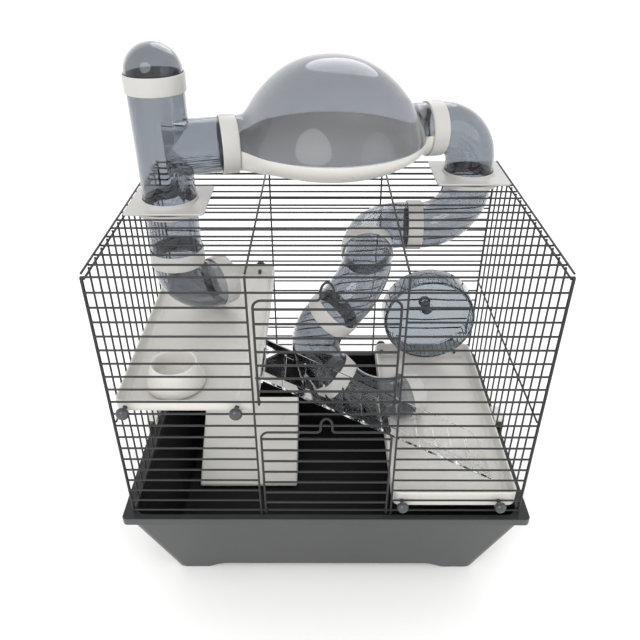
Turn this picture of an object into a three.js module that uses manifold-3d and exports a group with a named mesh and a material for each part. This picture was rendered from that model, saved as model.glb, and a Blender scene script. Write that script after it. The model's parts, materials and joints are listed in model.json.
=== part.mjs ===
// Two-storey hamster cage: deep tray, wire cage, shelves, ramp, wheel, hide and a route of clear tubes.
// Millimetres, +Z up. The doors face -Y. The origin is on the floor, under the middle of the whole outline.

import * as THREE from 'three';
import { mergeVertices } from 'three/addons/utils/BufferGeometryUtils.js';
import Module from 'manifold-3d';

const wasm = await Module();
wasm.setup();
const { Manifold } = wasm;

// ---------- driving dimensions ----------
const gap = 0.3;                 // clearance between pieces that touch
const cageWidth = 438;           // wire cage, outside, along X
const cageDepth = 306.7;         // along Y
const cageHeight = 305.2;        // rim of the tray to the top wire
const trayHeight = 120;          // floor to the top of the rim
const rimOverhang = 11.5;        // rim beyond the wires, along X
const rimOverhangFront = 8.4;    // rim beyond the wires, along Y
const rimLip = 10;               // height of the rim's outer lip
const trayTaperX = 40;           // how far the tray's wall leans in, per side
const trayTaperY = 22;
const trayWall = 3;
const trayCorner = 14;
const rimStepX = 3;              // rim beyond the top of the tray's wall
const rimLedge = 14.5;           // width of the rim's top, along X; the wire cage stands on it
const rimStepY = 5;
const footHeight = 10;
const footLength = 34;
const footSlope = 26;            // length of the ramp from a foot up to the raised bottom
const wire = 2.2;                // thickness of a wire
const firstRow = 5.2;            // lowest level wire above the rim
const rowCount = 20;             // level wires up the front and back
const columnCount = 16;          // upright wires on each side
const stiffenerShare = 0.44;     // height of the level wire across each side
const topCount = 16;             // wires across the top
const weld = 0.4;                // how far crossing wires sink into each other
const bayX = 73;                 // the two stiffening wires that frame the doors
const doorHalf = 67.5;
const doorRows = 7;              // wires inside each door
const upperDoorRow = 10;         // the row that each door hangs on
const lowerDoorRow = 0;
const doorTop = 9.3;             // frame above the last wire of a door
const doorBevel = 7;
const doorFrameScale = 1.3;      // the frame of a door is a little thicker
const latchHeight = 19;
const latchHalf = 7.5;
const tubeRadius = 29;           // clear tube, outside
const tubeWall = 1.6;
const collarWall = 1.5;
const collarLength = 18;
const bendLeg = collarLength / 2;  // straight end of each elbow, inside its collar
const tubeSides = 12;
const bendSteps = 5;               // facets around each bend
const podSides = 24;
const podSteps = 6;
const leftPortGap = 18.3;        // from the side of the cage to the tube that passes the top wires
const leftPortY = 18;
const rightPortGap = 17.6;
const rightPortBackGap = 19.35;  // from the back of the cage
const plateWidth = 86;
const plateDepth = 82;
const plateThickness = 2.2;
const bridgeRise = 60;           // axis of the outside tubes above the top wires
const teeRise = 128;             // top of the tee tube above the top wires
const podNeckLeft = 9;           // from the capsule to the middle of its first collar
const podNeckRight = 15.53;      // from the capsule to the middle of its last collar
const rightLegGap = 23;          // from the capsule's last collar to the right-hand tube
const routeDrop = 65.7;          // level tube of the right-hand route, below the top of the cage
const routeFall = 13.5;          // how far it falls on its way forwards
const routeShare = 0.481;        // height of its outermost bend, between that and its end
const routeFloorGap = 3.7;       // its end above the floor of the lower shelf
const dropFloorGap = 9;          // end of the left-hand drop above the floor of the upper shelf
const dropLeg = 54;              // from the drop's collar to its bend
const podRadius = 105;
const podDepth = 38;
const podDomeHeight = 84;
const podCrown = 0.8;             // shape of the clear dome: a higher crown is more pointed
const podBulge = 2.3;             // a higher bulge is fuller at the shoulder
const podWall = 2.2;
const shelfSideGap = 4;
const shelfFrontGap = 5.35;
const shelfBackGap = 7.6;
const upperShelfSize = { width: 145, row: 9, overRow: 13.4, height: 13.2 };
const lowerShelfSize = { width: 140, row: 1, overRow: 7.3, height: 20.5 };
const shelfWall = 2.5;
const shelfCorner = 8;
const pegRadius = 6.8;
const pegShank = 2.1;
const pegHead = 7.8;
const rampWidth = 60;
const rampWall = 1.8;
const rampSide = 13;
const rampInset = 37;            // near side of the ramp from the front of the shelves
const rungCount = 11;
const hookSlack = 1;             // room in the ramp's hook, so that it can tilt
const wheelRadius = 65;
const wheelTaper = 2;
const wheelDepth = 34;
const wheelSideGap = 8;          // from the wheel to the outside of the cage
const wheelFloorGap = 10;        // least room under the wheel, above the lower shelf
const wheelSkin = 1.8;
const axleRadius = 3.6;
const axleHead = 7.5;            // radius of the axle's head and of the nut behind the back panel
const axleSpacer = 6;            // radius of the sleeve that holds the wheel off the back panel
const bowlInset = [59, 47.35];     // from the left side and the front
const bowlBase = 31;
const bowlTop = 24.5;
const bowlHeight = 29;
const houseInset = 44;           // from the left side of the cage
const house = { length: 136, front: -14, back: 96, height: 73, eave: 5, wall: 2.2, ridge: 12 };
const houseDoor = { radius: 21, height: 26, shift: 24 };
const clipWidth = 28;

// ---------- values that follow ----------
const rimZ = trayHeight;
const half = { x: cageWidth / 2, y: cageDepth / 2 };
const wireRadius = wire / 2;
const frontY = -half.y + wireRadius;
const rowPitch = (cageHeight - firstRow) / (rowCount - 1);
const rowZ = (i) => rimZ + firstRow + i * rowPitch;
const topZ = rimZ + cageHeight + gap;
const sideX = half.x - wireRadius;
const sideEnd = half.y - wire - 2 * gap - wireRadius;
const collarInner = tubeRadius / Math.cos(Math.PI / tubeSides) + gap;
const collarOuter = collarInner + collarWall;
const plateBottom = topZ + wireRadius + gap;
const plateTop = plateBottom + plateThickness;
const joinZ = (plateBottom + plateTop) / 2;
const bridgeZ = topZ + bridgeRise;
const leftPort = [-half.x + leftPortGap + tubeRadius, leftPortY];
const rightPort = [half.x - rightPortGap - tubeRadius, half.y - rightPortBackGap - tubeRadius];
const bridgeLength = Math.hypot(rightPort[0] - leftPort[0], rightPort[1] - leftPort[1]);
const rightLeg = tubeRadius + rightLegGap;                 // from the last collar to the right-hand port
const podPlace = bridgeLength - rightLeg - podNeckRight - podRadius;   // middle of the capsule
const branchLength = podPlace - podRadius - podNeckLeft;   // from the tee's axis to the first collar
const shelfAt = (left, { width, row, overRow, height }) => ({
  left, right: left + width, front: -half.y + shelfFrontGap, back: half.y - shelfBackGap,
  top: firstRow + row * rowPitch + overRow, height,
});
const shelfFloor = ({ top, height }) => top - height + shelfWall;   // above the tray's rim
const upperShelf = shelfAt(-half.x + shelfSideGap, upperShelfSize);
const lowerShelf = shelfAt(half.x - shelfSideGap - lowerShelfSize.width, lowerShelfSize);
const rampFront = upperShelf.front + rampInset;
const wheelX = half.x - wheelSideGap - wheelRadius;
// the axle passes midway above this row of the back panel
const wheelRow = Math.ceil(
  (shelfFloor(lowerShelf) + wheelFloorGap + wheelRadius - firstRow) / rowPitch - 0.5);
const bowlPlace = [-half.x + bowlInset[0], -half.y + bowlInset[1]];

// ---------- materials ----------
const paint = (color, roughness, extra = {}) =>
  () => new THREE.MeshStandardMaterial({ color, roughness, metalness: 0, ...extra });
const whitePlastic = paint(0xdedcd6, 0.45);
const trayPlastic = paint(0x5c5d5f, 0.5);
const darkWire = paint(0x3c3d40, 0.45, { metalness: 0.3 });
const knobPlastic = paint(0x3f4043, 0.25);
const smokePlastic = paint(0x8a94a3, 0.1, { transparent: true, opacity: 0.45 });
const clearPlastic = paint(0xd8dce0, 0.08, { transparent: true, opacity: 0.3 });

// ---------- solids ----------
function toSolid(geometry) {
  const bare = geometry.index ? geometry.clone() : geometry;
  for (const name of Object.keys(bare.attributes)) if (name !== 'position') bare.deleteAttribute(name);
  const merged = mergeVertices(bare, 1e-4);
  return new Manifold(new wasm.Mesh({
    numProp: 3,
    vertProperties: new Float32Array(merged.attributes.position.array),
    triVerts: new Uint32Array(merged.index.array),
  }));
}

function toGeometry(solid) {
  const mesh = solid.getMesh();
  const geometry = new THREE.BufferGeometry();
  geometry.setAttribute('position', new THREE.BufferAttribute(new Float32Array(mesh.vertProperties), 3));
  geometry.setIndex(new THREE.BufferAttribute(new Uint32Array(mesh.triVerts), 1));
  geometry.computeVertexNormals();
  return geometry;
}

const join = (list) => list.reduce((sum, one) => sum.add(one));

function box(x0, x1, y0, y1, z0, z1) {
  const geometry = new THREE.BoxGeometry(x1 - x0, y1 - y0, z1 - z0);
  geometry.translate((x0 + x1) / 2, (y0 + y1) / 2, (z0 + z1) / 2);
  return toSolid(geometry);
}

function circlePoints(radius, sides) {
  return Array.from({ length: sides }, (_, i) => {
    const angle = (2 * Math.PI * i) / sides;
    return new THREE.Vector2(radius * Math.cos(angle), radius * Math.sin(angle));
  });
}

// a straight rod or, with an inner radius, a pipe; centred on a point and lying along a direction
function rod(centre, direction, length, radius, inner = 0, sides = tubeSides) {
  const turn = new THREE.Quaternion().setFromUnitVectors(
    new THREE.Vector3(0, 0, 1), new THREE.Vector3(...direction).normalize());
  const shape = new THREE.Shape(circlePoints(radius, sides));
  if (inner > 0) shape.holes.push(new THREE.Path(circlePoints(inner, sides)));
  const geometry = new THREE.ExtrudeGeometry(shape, { depth: length, bevelEnabled: false, steps: 1 });
  geometry.translate(0, 0, -length / 2);
  geometry.applyQuaternion(turn).translate(...centre);
  return toSolid(geometry);
}

// a closed profile of [radius, z] points turned about an upright axis
function turned(profile, centre, sides) {
  const points = profile.map(([r, z]) => new THREE.Vector2(r, z));
  const geometry = new THREE.LatheGeometry(points, sides);
  geometry.rotateX(Math.PI / 2).translate(centre[0], centre[1], centre[2] ?? 0);
  return toSolid(geometry);
}

// an outline in the XZ plane pushed along Y
function slab(outline, y0, y1) {
  const shape = new THREE.Shape(outline.map(([x, z]) => new THREE.Vector2(x, z)));
  const geometry = new THREE.ExtrudeGeometry(shape, { depth: y1 - y0, bevelEnabled: false, steps: 1 });
  geometry.rotateX(Math.PI / 2).translate(0, y1, 0);
  return toSolid(geometry);
}

// a rounded rectangle drawn as points, for extruding or lofting
function roundedRing(x0, x1, y0, y1, corner, steps = 3) {
  const ring = [];
  const corners = [[x1, y1, 0], [x0, y1, 1], [x0, y0, 2], [x1, y0, 3]];
  for (const [x, y, quarter] of corners) {
    const cx = x + (x === x1 ? -corner : corner);
    const cy = y + (y === y1 ? -corner : corner);
    for (let i = 0; i <= steps; i += 1) {
      const angle = (quarter + i / steps) * (Math.PI / 2);
      ring.push([cx + corner * Math.cos(angle), cy + corner * Math.sin(angle)]);
    }
  }
  return ring;
}

// a solid through rings that all have the same number of points: [[ring, z], ...]
function loft(sections) {
  const count = sections[0][0].length;
  const positions = [];
  const index = [];
  for (const [ring, z] of sections) for (const [x, y] of ring) positions.push(x, y, z);
  for (let s = 0; s + 1 < sections.length; s += 1) {
    for (let i = 0; i < count; i += 1) {
      const a = s * count + i;
      const b = s * count + ((i + 1) % count);
      index.push(a, b, b + count, a, b + count, a + count);
    }
  }
  const last = (sections.length - 1) * count;
  for (let i = 1; i + 1 < count; i += 1) {
    index.push(0, i + 1, i);
    index.push(last, last + i, last + i + 1);
  }
  const geometry = new THREE.BufferGeometry();
  geometry.setAttribute('position', new THREE.Float32BufferAttribute(positions, 3));
  geometry.setIndex(index);
  return toSolid(geometry);
}

function roundedBlock(x0, x1, y0, y1, z0, z1, corner) {
  const ring = roundedRing(x0, x1, y0, y1, corner);
  return loft([[ring, z0], [ring, z1]]);
}

// ---------- the assembled group ----------
const cage = new THREE.Group();

function add(name, solid, material) {
  const mesh = new THREE.Mesh(toGeometry(solid), material());
  mesh.name = name;
  cage.add(mesh);
}

// ---------- tray ----------
function buildTray() {
  const outX = half.x + rimOverhang;
  const outY = half.y + rimOverhangFront;
  const bodyX = outX - rimStepX;
  const bodyY = outY - rimStepY;
  const shell = (inset, z0, z1, corner) => {
    const lean = (z) => (rimZ - rimLip - z) / (rimZ - rimLip);
    const ring = (z) => {
      const x = bodyX - inset - trayTaperX * lean(z);
      const y = bodyY - inset - trayTaperY * lean(z);
      return roundedRing(-x, x, -y, y, corner);
    };
    return loft([[ring(z0), z0], [ring(z1), z1]]);
  };
  const body = shell(0, 0, rimZ - 2, trayCorner);
  const rim = roundedBlock(-outX, outX, -outY, outY, rimZ - rimLip, rimZ, 6);
  const mouthY = outY - rimStepY - trayWall;
  const mouth = roundedBlock(-outX + rimLedge, outX - rimLedge, -mouthY, mouthY,
    rimZ - rimLip - 1, rimZ + 1, trayCorner - 2);
  const hollow = shell(trayWall, footHeight + trayWall, rimZ - rimLip, trayCorner - 2).add(mouth);
  const lipInner = roundedBlock(-outX + 3, outX - 3, -outY + 3, outY - 3, rimZ - rimLip - 1, rimZ - 3, 4)
    .subtract(shell(-0.01, 0, rimZ - 2, trayCorner));
  const reach = bodyX - trayTaperX;
  const reachY = bodyY - trayTaperY;
  const arch = (end) => [
    [-end + footLength, -1], [end - footLength, -1], [end - footLength - footSlope, footHeight],
    [-end + footLength + footSlope, footHeight],
  ];
  const frontArch = slab(arch(reach), -outY, outY);
  const sideArch = slab(arch(reachY), -outX, outX).rotate([0, 0, 90]);
  return body.add(rim).subtract(lipInner).subtract(hollow).subtract(frontArch).subtract(sideArch);
}

function buildClip(side) {
  const outX = half.x + rimOverhang;
  const outline = [
    [outX + gap, rimZ - 14], [outX + gap + 2.6, rimZ - 14], [outX + gap + 2.6, rimZ + 17],
    [sideX + wire + gap, rimZ + 17], [sideX + wire + gap, rimZ + 9], [sideX + wire + 2.6, rimZ + 9],
    [sideX + wire + 2.6, rimZ + 14.4], [outX + gap, rimZ + 14.4],
  ];
  const placed = side > 0 ? outline : outline.map(([x, z]) => [-x, z]).reverse();
  return slab(placed, -clipWidth / 2, clipWidth / 2);
}

add('base_tray', buildTray(), trayPlastic);
add('side_clip_left', buildClip(-1), whitePlastic);
add('side_clip_right', buildClip(1), whitePlastic);

// ---------- wire panels ----------
const wireX = (x0, x1, y, z) =>
  box(x0, x1, y - wireRadius, y + wireRadius, z - wireRadius, z + wireRadius);
const wireY = (x, y0, y1, z) =>
  box(x - wireRadius, x + wireRadius, y0, y1, z - wireRadius, z + wireRadius);
const wireZ = (x, y, z0, z1) =>
  box(x - wireRadius, x + wireRadius, y - wireRadius, y + wireRadius, z0, z1);

const hasDoor = (i) =>
  (i > upperDoorRow && i <= upperDoorRow + doorRows) || (i > lowerDoorRow && i <= lowerDoorRow + doorRows);

function buildUprightPanel(y, outward, withDoors) {
  const end = half.x - wireRadius;
  const bond = y + outward * (wire - weld);
  const parts = [];
  for (let i = 0; i < rowCount; i += 1) {
    if (withDoors && hasDoor(i)) {
      parts.push(wireX(-end, -bayX, y, rowZ(i)), wireX(bayX, end, y, rowZ(i)));
    } else {
      parts.push(wireX(-end, end, y, rowZ(i)));
    }
  }
  for (const x of [-end, end]) parts.push(wireZ(x, y, rimZ + gap, rowZ(rowCount - 1) + wireRadius));
  for (const x of [-bayX, bayX]) {
    parts.push(wireZ(x, bond, rimZ + gap, rowZ(rowCount - 1) + wireRadius));
  }
  return join(parts);
}

function buildSidePanel(side) {
  const x = side * sideX;
  const z1 = topZ - wire - gap;
  const parts = [];
  for (let i = 0; i < columnCount; i += 1) {
    const y = -sideEnd + (2 * sideEnd * i) / (columnCount - 1);
    parts.push(wireZ(x, y, rimZ + gap, z1));
  }
  const bond = side * (sideX - wire + weld);
  const levels = [rimZ + firstRow, rimZ + cageHeight * stiffenerShare, z1 - wireRadius];
  for (const z of levels) parts.push(wireY(bond, -sideEnd, sideEnd, z));
  return join(parts);
}

// four slightly slimmer wires around each port
function portFrame([x, y], frame) {
  const slim = wireRadius - 0.2;
  const bar = (x0, x1, y0, y1) => box(x0 - slim, x1 + slim, y0 - slim, y1 + slim, topZ - slim, topZ + slim);
  return join([
    bar(x - frame, x + frame, y - frame, y - frame), bar(x - frame, x + frame, y + frame, y + frame),
    bar(x - frame, x - frame, y - frame, y + frame), bar(x + frame, x + frame, y - frame, y + frame),
  ]);
}

function buildTopPanel() {
  const frame = collarOuter + 2 + wireRadius;
  const wires = [];
  const cuts = [];
  const frames = [];
  // the top wires of the front and back panels stand in for its first and last wires
  for (let i = 1; i < topCount - 1; i += 1) {
    wires.push(wireX(-sideX, sideX, -sideEnd + (2 * sideEnd * i) / (topCount - 1), topZ));
  }
  for (const x of [-sideX, -bayX, bayX, sideX]) wires.push(wireY(x, -sideEnd, sideEnd, topZ + wire - weld));
  for (const [x, y] of [leftPort, rightPort]) {
    cuts.push(box(x - frame, x + frame, y - frame, y + frame, topZ - 5, topZ + 5));
    frames.push(portFrame([x, y], frame));
  }
  return join(wires).subtract(join(cuts)).add(join(frames));
}

add('front_panel', buildUprightPanel(frontY, -1, true), darkWire);
add('back_panel', buildUprightPanel(-frontY, 1, false), darkWire);
add('left_panel', buildSidePanel(-1), darkWire);
add('right_panel', buildSidePanel(1), darkWire);
add('top_panel', buildTopPanel(), darkWire);

// ---------- doors ----------
// [x, z] points along the top of a door's frame, with its bent latch in the middle
function doorOutline(top) {
  const latch = latchHalf * 0.8;
  const right = [
    [0, top + latchHeight], [latch, top + latchHeight * 0.75], [latchHalf, top],
    [doorHalf - doorBevel, top], [doorHalf, top - doorBevel],
  ];
  const left = right.slice(1).reverse().map(([x, z]) => [-x, z]);
  return [...left, ...right];
}

function buildDoor(row) {
  const y = frontY - wire - 2 * gap;
  const hingeZ = rowZ(row);
  const top = rowZ(row + doorRows) + doorTop;
  const parts = [];
  for (let i = 0; i <= doorRows; i += 1) parts.push(wireX(-doorHalf, doorHalf, y, rowZ(row + i)));
  for (const x of [-doorHalf, doorHalf]) parts.push(wireZ(x, y, hingeZ, top - doorBevel + 1));
  const bar = ([x0, z0], [x1, z1]) => {
    const length = Math.hypot(x1 - x0, z1 - z0) + 0.8 * wire;
    const middle = [(x0 + x1) / 2, y, (z0 + z1) / 2];
    return rod(middle, [x1 - x0, 0, z1 - z0], length, wireRadius * doorFrameScale, 0, 4);
  };
  const outline = doorOutline(top);
  for (let i = 0; i + 1 < outline.length; i += 1) parts.push(bar(outline[i], outline[i + 1]));
  const outer = wire + gap + weld;
  const inner = wireRadius + 2 * gap;
  const loop = (x, w, r) => box(x - w, x + w, frontY - r, frontY + r, hingeZ - r, hingeZ + r);
  for (const x of [-doorHalf + 12, doorHalf - 12]) {
    parts.push(loop(x, 1.5, outer).subtract(loop(x, 2, inner)));
  }
  return join(parts);
}

add('upper_door', buildDoor(upperDoorRow), darkWire);
add('lower_door', buildDoor(lowerDoorRow), darkWire);

// ---------- shelves and their pegs ----------
const pegInset = { left: 10.5, right: 21 };
const pegHeight = (shelf) => rimZ + shelf.top - (shelf === upperShelf ? 8.2 : 11.8);
const pegPlaces = (shelf) => [
  [shelf.left + pegInset.left, -1], [shelf.right - pegInset.right, -1],
  [shelf.left + pegInset.left, 1], [shelf.right - pegInset.right, 1],
];

function buildShelf(shelf) {
  const top = rimZ + shelf.top;
  const bottom = top - shelf.height;
  const { left, right, front, back } = shelf;
  const ring = (inset, corner) =>
    roundedRing(left + inset, right - inset, front + inset, back - inset, corner);
  const block = loft([[ring(0, shelfCorner), bottom], [ring(0, shelfCorner), top]]);
  const upper = ring(shelfWall, shelfCorner - 2);
  const lower = ring(shelfWall + 3, shelfCorner - 3);
  const hollow = loft([[lower, bottom + shelfWall], [upper, top - 4], [upper, top + 1]]);
  const hole = (pegShank + gap) / Math.cos(Math.PI / 6);
  const holes = pegPlaces(shelf).map(([x, side]) =>
    rod([x, side < 0 ? front : back, pegHeight(shelf)], [0, 1, 0], 20, hole, 0, 6));
  return block.subtract(hollow).subtract(join(holes));
}

function buildPeg(shelf, x, side) {
  const z = pegHeight(shelf);
  const outer = side * (half.y + wire + gap);
  const wallFace = side < 0 ? shelf.front : shelf.back;
  const inner = wallFace - side * (shelfWall + 5);
  const shank = rod([x, (outer + inner) / 2, z], [0, 1, 0], Math.abs(outer - inner) + 2, pegShank, 0, 6);
  const profile = [[0, 0], [pegRadius * 0.82, 0], [pegRadius, 1.6], [pegRadius * 0.94, 4],
    [pegRadius * 0.66, pegHead - 1.2], [0, pegHead]];
  const head = turned(profile, [0, 0, 0], 10).rotate([side < 0 ? 90 : -90, 0, 0]).translate([x, outer, z]);
  return head.add(shank);
}

// the last tube of the route comes to rest in a notch in the lower shelf's rim
const restNotch = box(lowerShelf.left - 5, lowerShelf.left + 9, -42, 42, rimZ + 12, rimZ + 60);
add('upper_shelf', buildShelf(upperShelf), whitePlastic);
add('lower_shelf', buildShelf(lowerShelf).subtract(restNotch), whitePlastic);
for (const [label, shelf] of [['upper', upperShelf], ['lower', lowerShelf]]) {
  pegPlaces(shelf).forEach(([x, side], i) => {
    const corner = `${side < 0 ? 'front' : 'back'}_${i % 2 === 0 ? 'left' : 'right'}`;
    add(`${label}_shelf_peg_${corner}`, buildPeg(shelf, x, side), knobPlastic);
  });
}

// ---------- ramp between the shelves ----------
function buildRamp() {
  const rimInnerX = upperShelf.right - shelfWall;
  const startX = upperShelf.right + gap + rampWall;
  const startZ = rimZ + upperShelf.top - 3;
  const endX = lowerShelf.right - 20;
  const endZ = rimZ + shelfFloor(lowerShelf) + gap;
  const slope = (endZ - startZ) / (endX - startX);
  const at = (x) => startZ + slope * (x - startX);
  const floor = [[startX, startZ], [endX, endZ], [endX, endZ + rampWall], [startX, startZ + rampWall]];
  const back = rampFront + rampWidth;
  const parts = [slab(floor, rampFront, back)];
  const cheek = [
    [startX, startZ], [endX - 4, at(endX - 4)], [endX - 4, at(endX - 4) + 4],
    [endX - 16, at(endX - 16) + rampSide], [startX, startZ + rampSide],
  ];
  parts.push(slab(cheek, rampFront, rampFront + rampWall), slab(cheek, back - rampWall, back));
  for (let i = 1; i <= rungCount; i += 1) {
    const x = startX + ((endX - startX) * i) / (rungCount + 1);
    const z = at(x);
    const rung = [[x - 1.2, z + 0.5], [x + 1.2, z + 0.5], [x + 1.2, z + 4], [x - 1.2, z + 4.6]];
    parts.push(slab(rung, rampFront + 0.5, back - 0.5));
  }
  const hookTop = rimZ + upperShelf.top + gap;
  const hook = [
    [startX - rampWall, startZ - 3], [startX + 0.5, startZ - 3], [startX + 0.5, hookTop + rampWall],
    [rimInnerX - hookSlack - rampWall, hookTop + rampWall], [rimInnerX - hookSlack - rampWall, hookTop - 4],
    [rimInnerX - hookSlack, hookTop - 4], [rimInnerX - hookSlack, hookTop], [startX - rampWall, hookTop],
  ];
  parts.push(slab(hook, rampFront, back));
  return join(parts);
}
add('ramp', buildRamp(), clearPlastic);

// ---------- food bowl and hide ----------
function buildBowl() {
  const z0 = rimZ + shelfFloor(upperShelf) + gap;
  const profile = [
    [0, 0], [bowlBase - 3, 0], [bowlBase, 3], [bowlBase - 0.5, 10], [bowlTop + 1.5, bowlHeight * 0.7],
    [bowlTop, bowlHeight - 2], [bowlTop - 1.2, bowlHeight], [bowlTop - 2.6, bowlHeight - 2],
    [bowlTop - 3.6, 12], [bowlTop - 8, 6], [0, 5],
  ];
  return turned(profile, [bowlPlace[0], bowlPlace[1], z0], 18);
}
add('food_bowl', buildBowl(), whitePlastic);

// a lean-to roof that rises towards the back, with a flat ridge
function houseOutline(inset) {
  const { front, back, height, eave, ridge } = house;
  const z0 = footHeight + trayWall + gap;
  const slope = (height - eave) / (back - ridge - front);
  const floor = inset ? z0 - 1 : z0;
  const ridgeY = back - ridge + inset * 0.3;
  const top = z0 + height - inset;
  return [
    [front + inset, floor], [back - inset, floor], [back - inset, top], [ridgeY, top],
    [front + inset, top - slope * (ridgeY - front - inset)],
  ];
}

function buildHouse() {
  const left = -half.x + houseInset;
  const right = left + house.length;
  const z0 = footHeight + trayWall + gap;
  const body = (inset) => slab(houseOutline(inset), left + inset, right - inset)
    .rotate([0, 0, 90]).scale([-1, 1, 1]);
  const doorY = (house.front + house.back) / 2 + houseDoor.shift;
  const { radius, height } = houseDoor;
  const doorway = rod([right, doorY, z0 + height], [1, 0, 0], 20, radius, 0, 20)
    .add(box(right - 10, right + 10, doorY - radius, doorY + radius, z0 - 1, z0 + height));
  return body(0).subtract(body(house.wall)).subtract(doorway);
}
add('hide_house', buildHouse(), whitePlastic);

// ---------- wheel ----------
const wheelBack = lowerShelf.back - shelfWall - 1.5;
const axleZ = rowZ(wheelRow) + rowPitch / 2;
function buildWheel() {
  const w = wheelSkin;
  const rimRadius = wheelRadius - wheelTaper;
  const profile = [
    [5, 0], [wheelRadius - 2, 0], [wheelRadius, 2], [rimRadius, wheelDepth],
    [rimRadius - 4, wheelDepth], [rimRadius - 4, wheelDepth - w], [rimRadius - w, wheelDepth - w],
    [wheelRadius - w, 2 + w], [5, w],
  ];
  const drum = turned([...profile, profile[0]], [0, 0, 0], 28).rotate([90, 0, 0]);
  return drum.translate([wheelX, wheelBack, axleZ]);
}

function buildAxle() {
  const along = (y0, y1, radius, sides) =>
    rod([wheelX, (y0 + y1) / 2, axleZ], [0, 1, 0], y1 - y0, radius, 0, sides);
  const shaft = along(wheelBack - 6, half.y + wire + gap, axleRadius, 10);
  const head = along(wheelBack - 7.9, wheelBack - 2.9, axleHead, 12);
  const spacer = along(wheelBack + gap, half.y - wire - gap, axleSpacer, 12);
  return shaft.add(head).add(spacer);
}

function buildAxleNut() {
  return rod([wheelX, half.y + wire + gap + 3, axleZ], [0, 1, 0], 5, axleHead, axleRadius + 2 * gap, 16);
}
add('wheel', buildWheel(), smokePlastic);
add('wheel_axle', buildAxle(), knobPlastic);
add('wheel_nut', buildAxleNut(), knobPlastic);

// ---------- port plates ----------
function buildPlate([x, y]) {
  const plate = roundedBlock(x - plateWidth / 2, x + plateWidth / 2, y - plateDepth / 2, y + plateDepth / 2,
    plateBottom, plateTop, 3);
  const lip = rod([x, y, plateTop + 1], [0, 0, 1], 6, collarOuter, 0);
  return plate.add(lip).subtract(rod([x, y, plateTop], [0, 0, 1], 30, collarInner, 0));
}

const buildLockRing = ([x, y]) =>
  rod([x, y, topZ - wireRadius - gap - 3], [0, 0, 1], 6, collarOuter + 6, collarInner);

for (const [side, port] of [['left', leftPort], ['right', rightPort]]) {
  add(`${side}_port_plate`, buildPlate(port), whitePlastic);
  add(`${side}_port_ring`, buildLockRing(port), whitePlastic);
}

// ---------- tube route ----------
const vec = (...p) => new THREE.Vector3(...p);

// a pipe with two straight ends and one round bend, which touches the lines to the corner point
function bentTube(from, corner, to) {
  const a = vec(...from);
  const c = vec(...corner);
  const b = vec(...to);
  const inDir = c.clone().sub(a).normalize();
  const outDir = b.clone().sub(c).normalize();
  const turn = inDir.angleTo(outDir);
  const normal = outDir.clone().addScaledVector(inDir, -outDir.dot(inDir)).normalize();
  const side = inDir.clone().cross(normal).normalize();
  const reach = Math.min(c.distanceTo(a), c.distanceTo(b)) - bendLeg;
  const radius = reach / Math.tan(turn / 2);
  const centre = c.clone().addScaledVector(inDir, -reach).addScaledVector(normal, radius);
  const stations = [[a.clone().addScaledVector(inDir, gap), inDir]];
  for (let i = 0; i <= bendSteps; i += 1) {
    const angle = (i / bendSteps) * turn;
    const outward = normal.clone().multiplyScalar(-Math.cos(angle)).addScaledVector(inDir, Math.sin(angle));
    const ahead = inDir.clone().multiplyScalar(Math.cos(angle)).addScaledVector(normal, Math.sin(angle));
    stations.push([centre.clone().addScaledVector(outward, radius), ahead]);
  }
  stations.push([b.clone().addScaledVector(outDir, -gap), outDir]);
  const bore = sweep(stations, side, tubeRadius - tubeWall, 1);
  return sweep(stations, side, tubeRadius, 0).subtract(bore);
}

// circles of one radius at each station, joined; the first and last can be pushed out past the ends
function sweep(stations, side, radius, extend) {
  const positions = [];
  stations.forEach(([point, ahead], k) => {
    const up = side.clone().cross(ahead).normalize();
    const push = k === 0 ? -extend : 0;
    const pushed = k === stations.length - 1 ? extend : push;
    for (const { x, y } of circlePoints(radius, tubeSides)) {
      const p = point.clone().addScaledVector(ahead, pushed).addScaledVector(side, x).addScaledVector(up, y);
      positions.push(p.x, p.y, p.z);
    }
  });
  return sweepSolid(positions, stations.length, tubeSides);
}

function sweepSolid(positions, rings, count) {
  const index = [];
  for (let s = 0; s + 1 < rings; s += 1) {
    for (let i = 0; i < count; i += 1) {
      const a = s * count + i;
      const b = s * count + ((i + 1) % count);
      index.push(a, b + count, b, a, a + count, b + count);
    }
  }
  const last = (rings - 1) * count;
  for (let i = 1; i + 1 < count; i += 1) {
    index.push(0, i, i + 1);
    index.push(last, last + i + 1, last + i);
  }
  const geometry = new THREE.BufferGeometry();
  geometry.setAttribute('position', new THREE.Float32BufferAttribute(positions, 3));
  geometry.setIndex(index);
  return toSolid(geometry);
}

const between = (a, b, t) => a.map((v, i) => v + (b[i] - v) * t);
const collar = (centre, direction) => rod(centre, direction, collarLength, collarOuter, collarInner);
const direction = (a, b) => b.map((v, i) => v - a[i]);

// outside bridge: tee, capsule and elbow, in line from one port to the other
const bridgeStart = [...leftPort, bridgeZ];
const bridgeEnd = [...rightPort, bridgeZ];
const onBridge = (s) => between(bridgeStart, bridgeEnd, s / bridgeLength);
const bridgeDirection = direction(bridgeStart, bridgeEnd);
function buildTee() {
  const top = topZ + teeRise;
  const middle = [...leftPort, (joinZ + top) / 2];
  const upright = rod(middle, [0, 0, 1], top - joinZ - 2 * gap, tubeRadius);
  const branchEnd = branchLength - gap;
  const branch = rod(onBridge(branchEnd / 2), bridgeDirection, branchEnd, tubeRadius);
  const hollowUp = rod(middle, [0, 0, 1], top - joinZ + 10, tubeRadius - tubeWall);
  const hollowAcross = rod(onBridge(branchLength / 2 + 5), bridgeDirection, branchLength + 10,
    tubeRadius - tubeWall);
  return upright.add(branch).subtract(hollowUp).subtract(hollowAcross);
}

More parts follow.
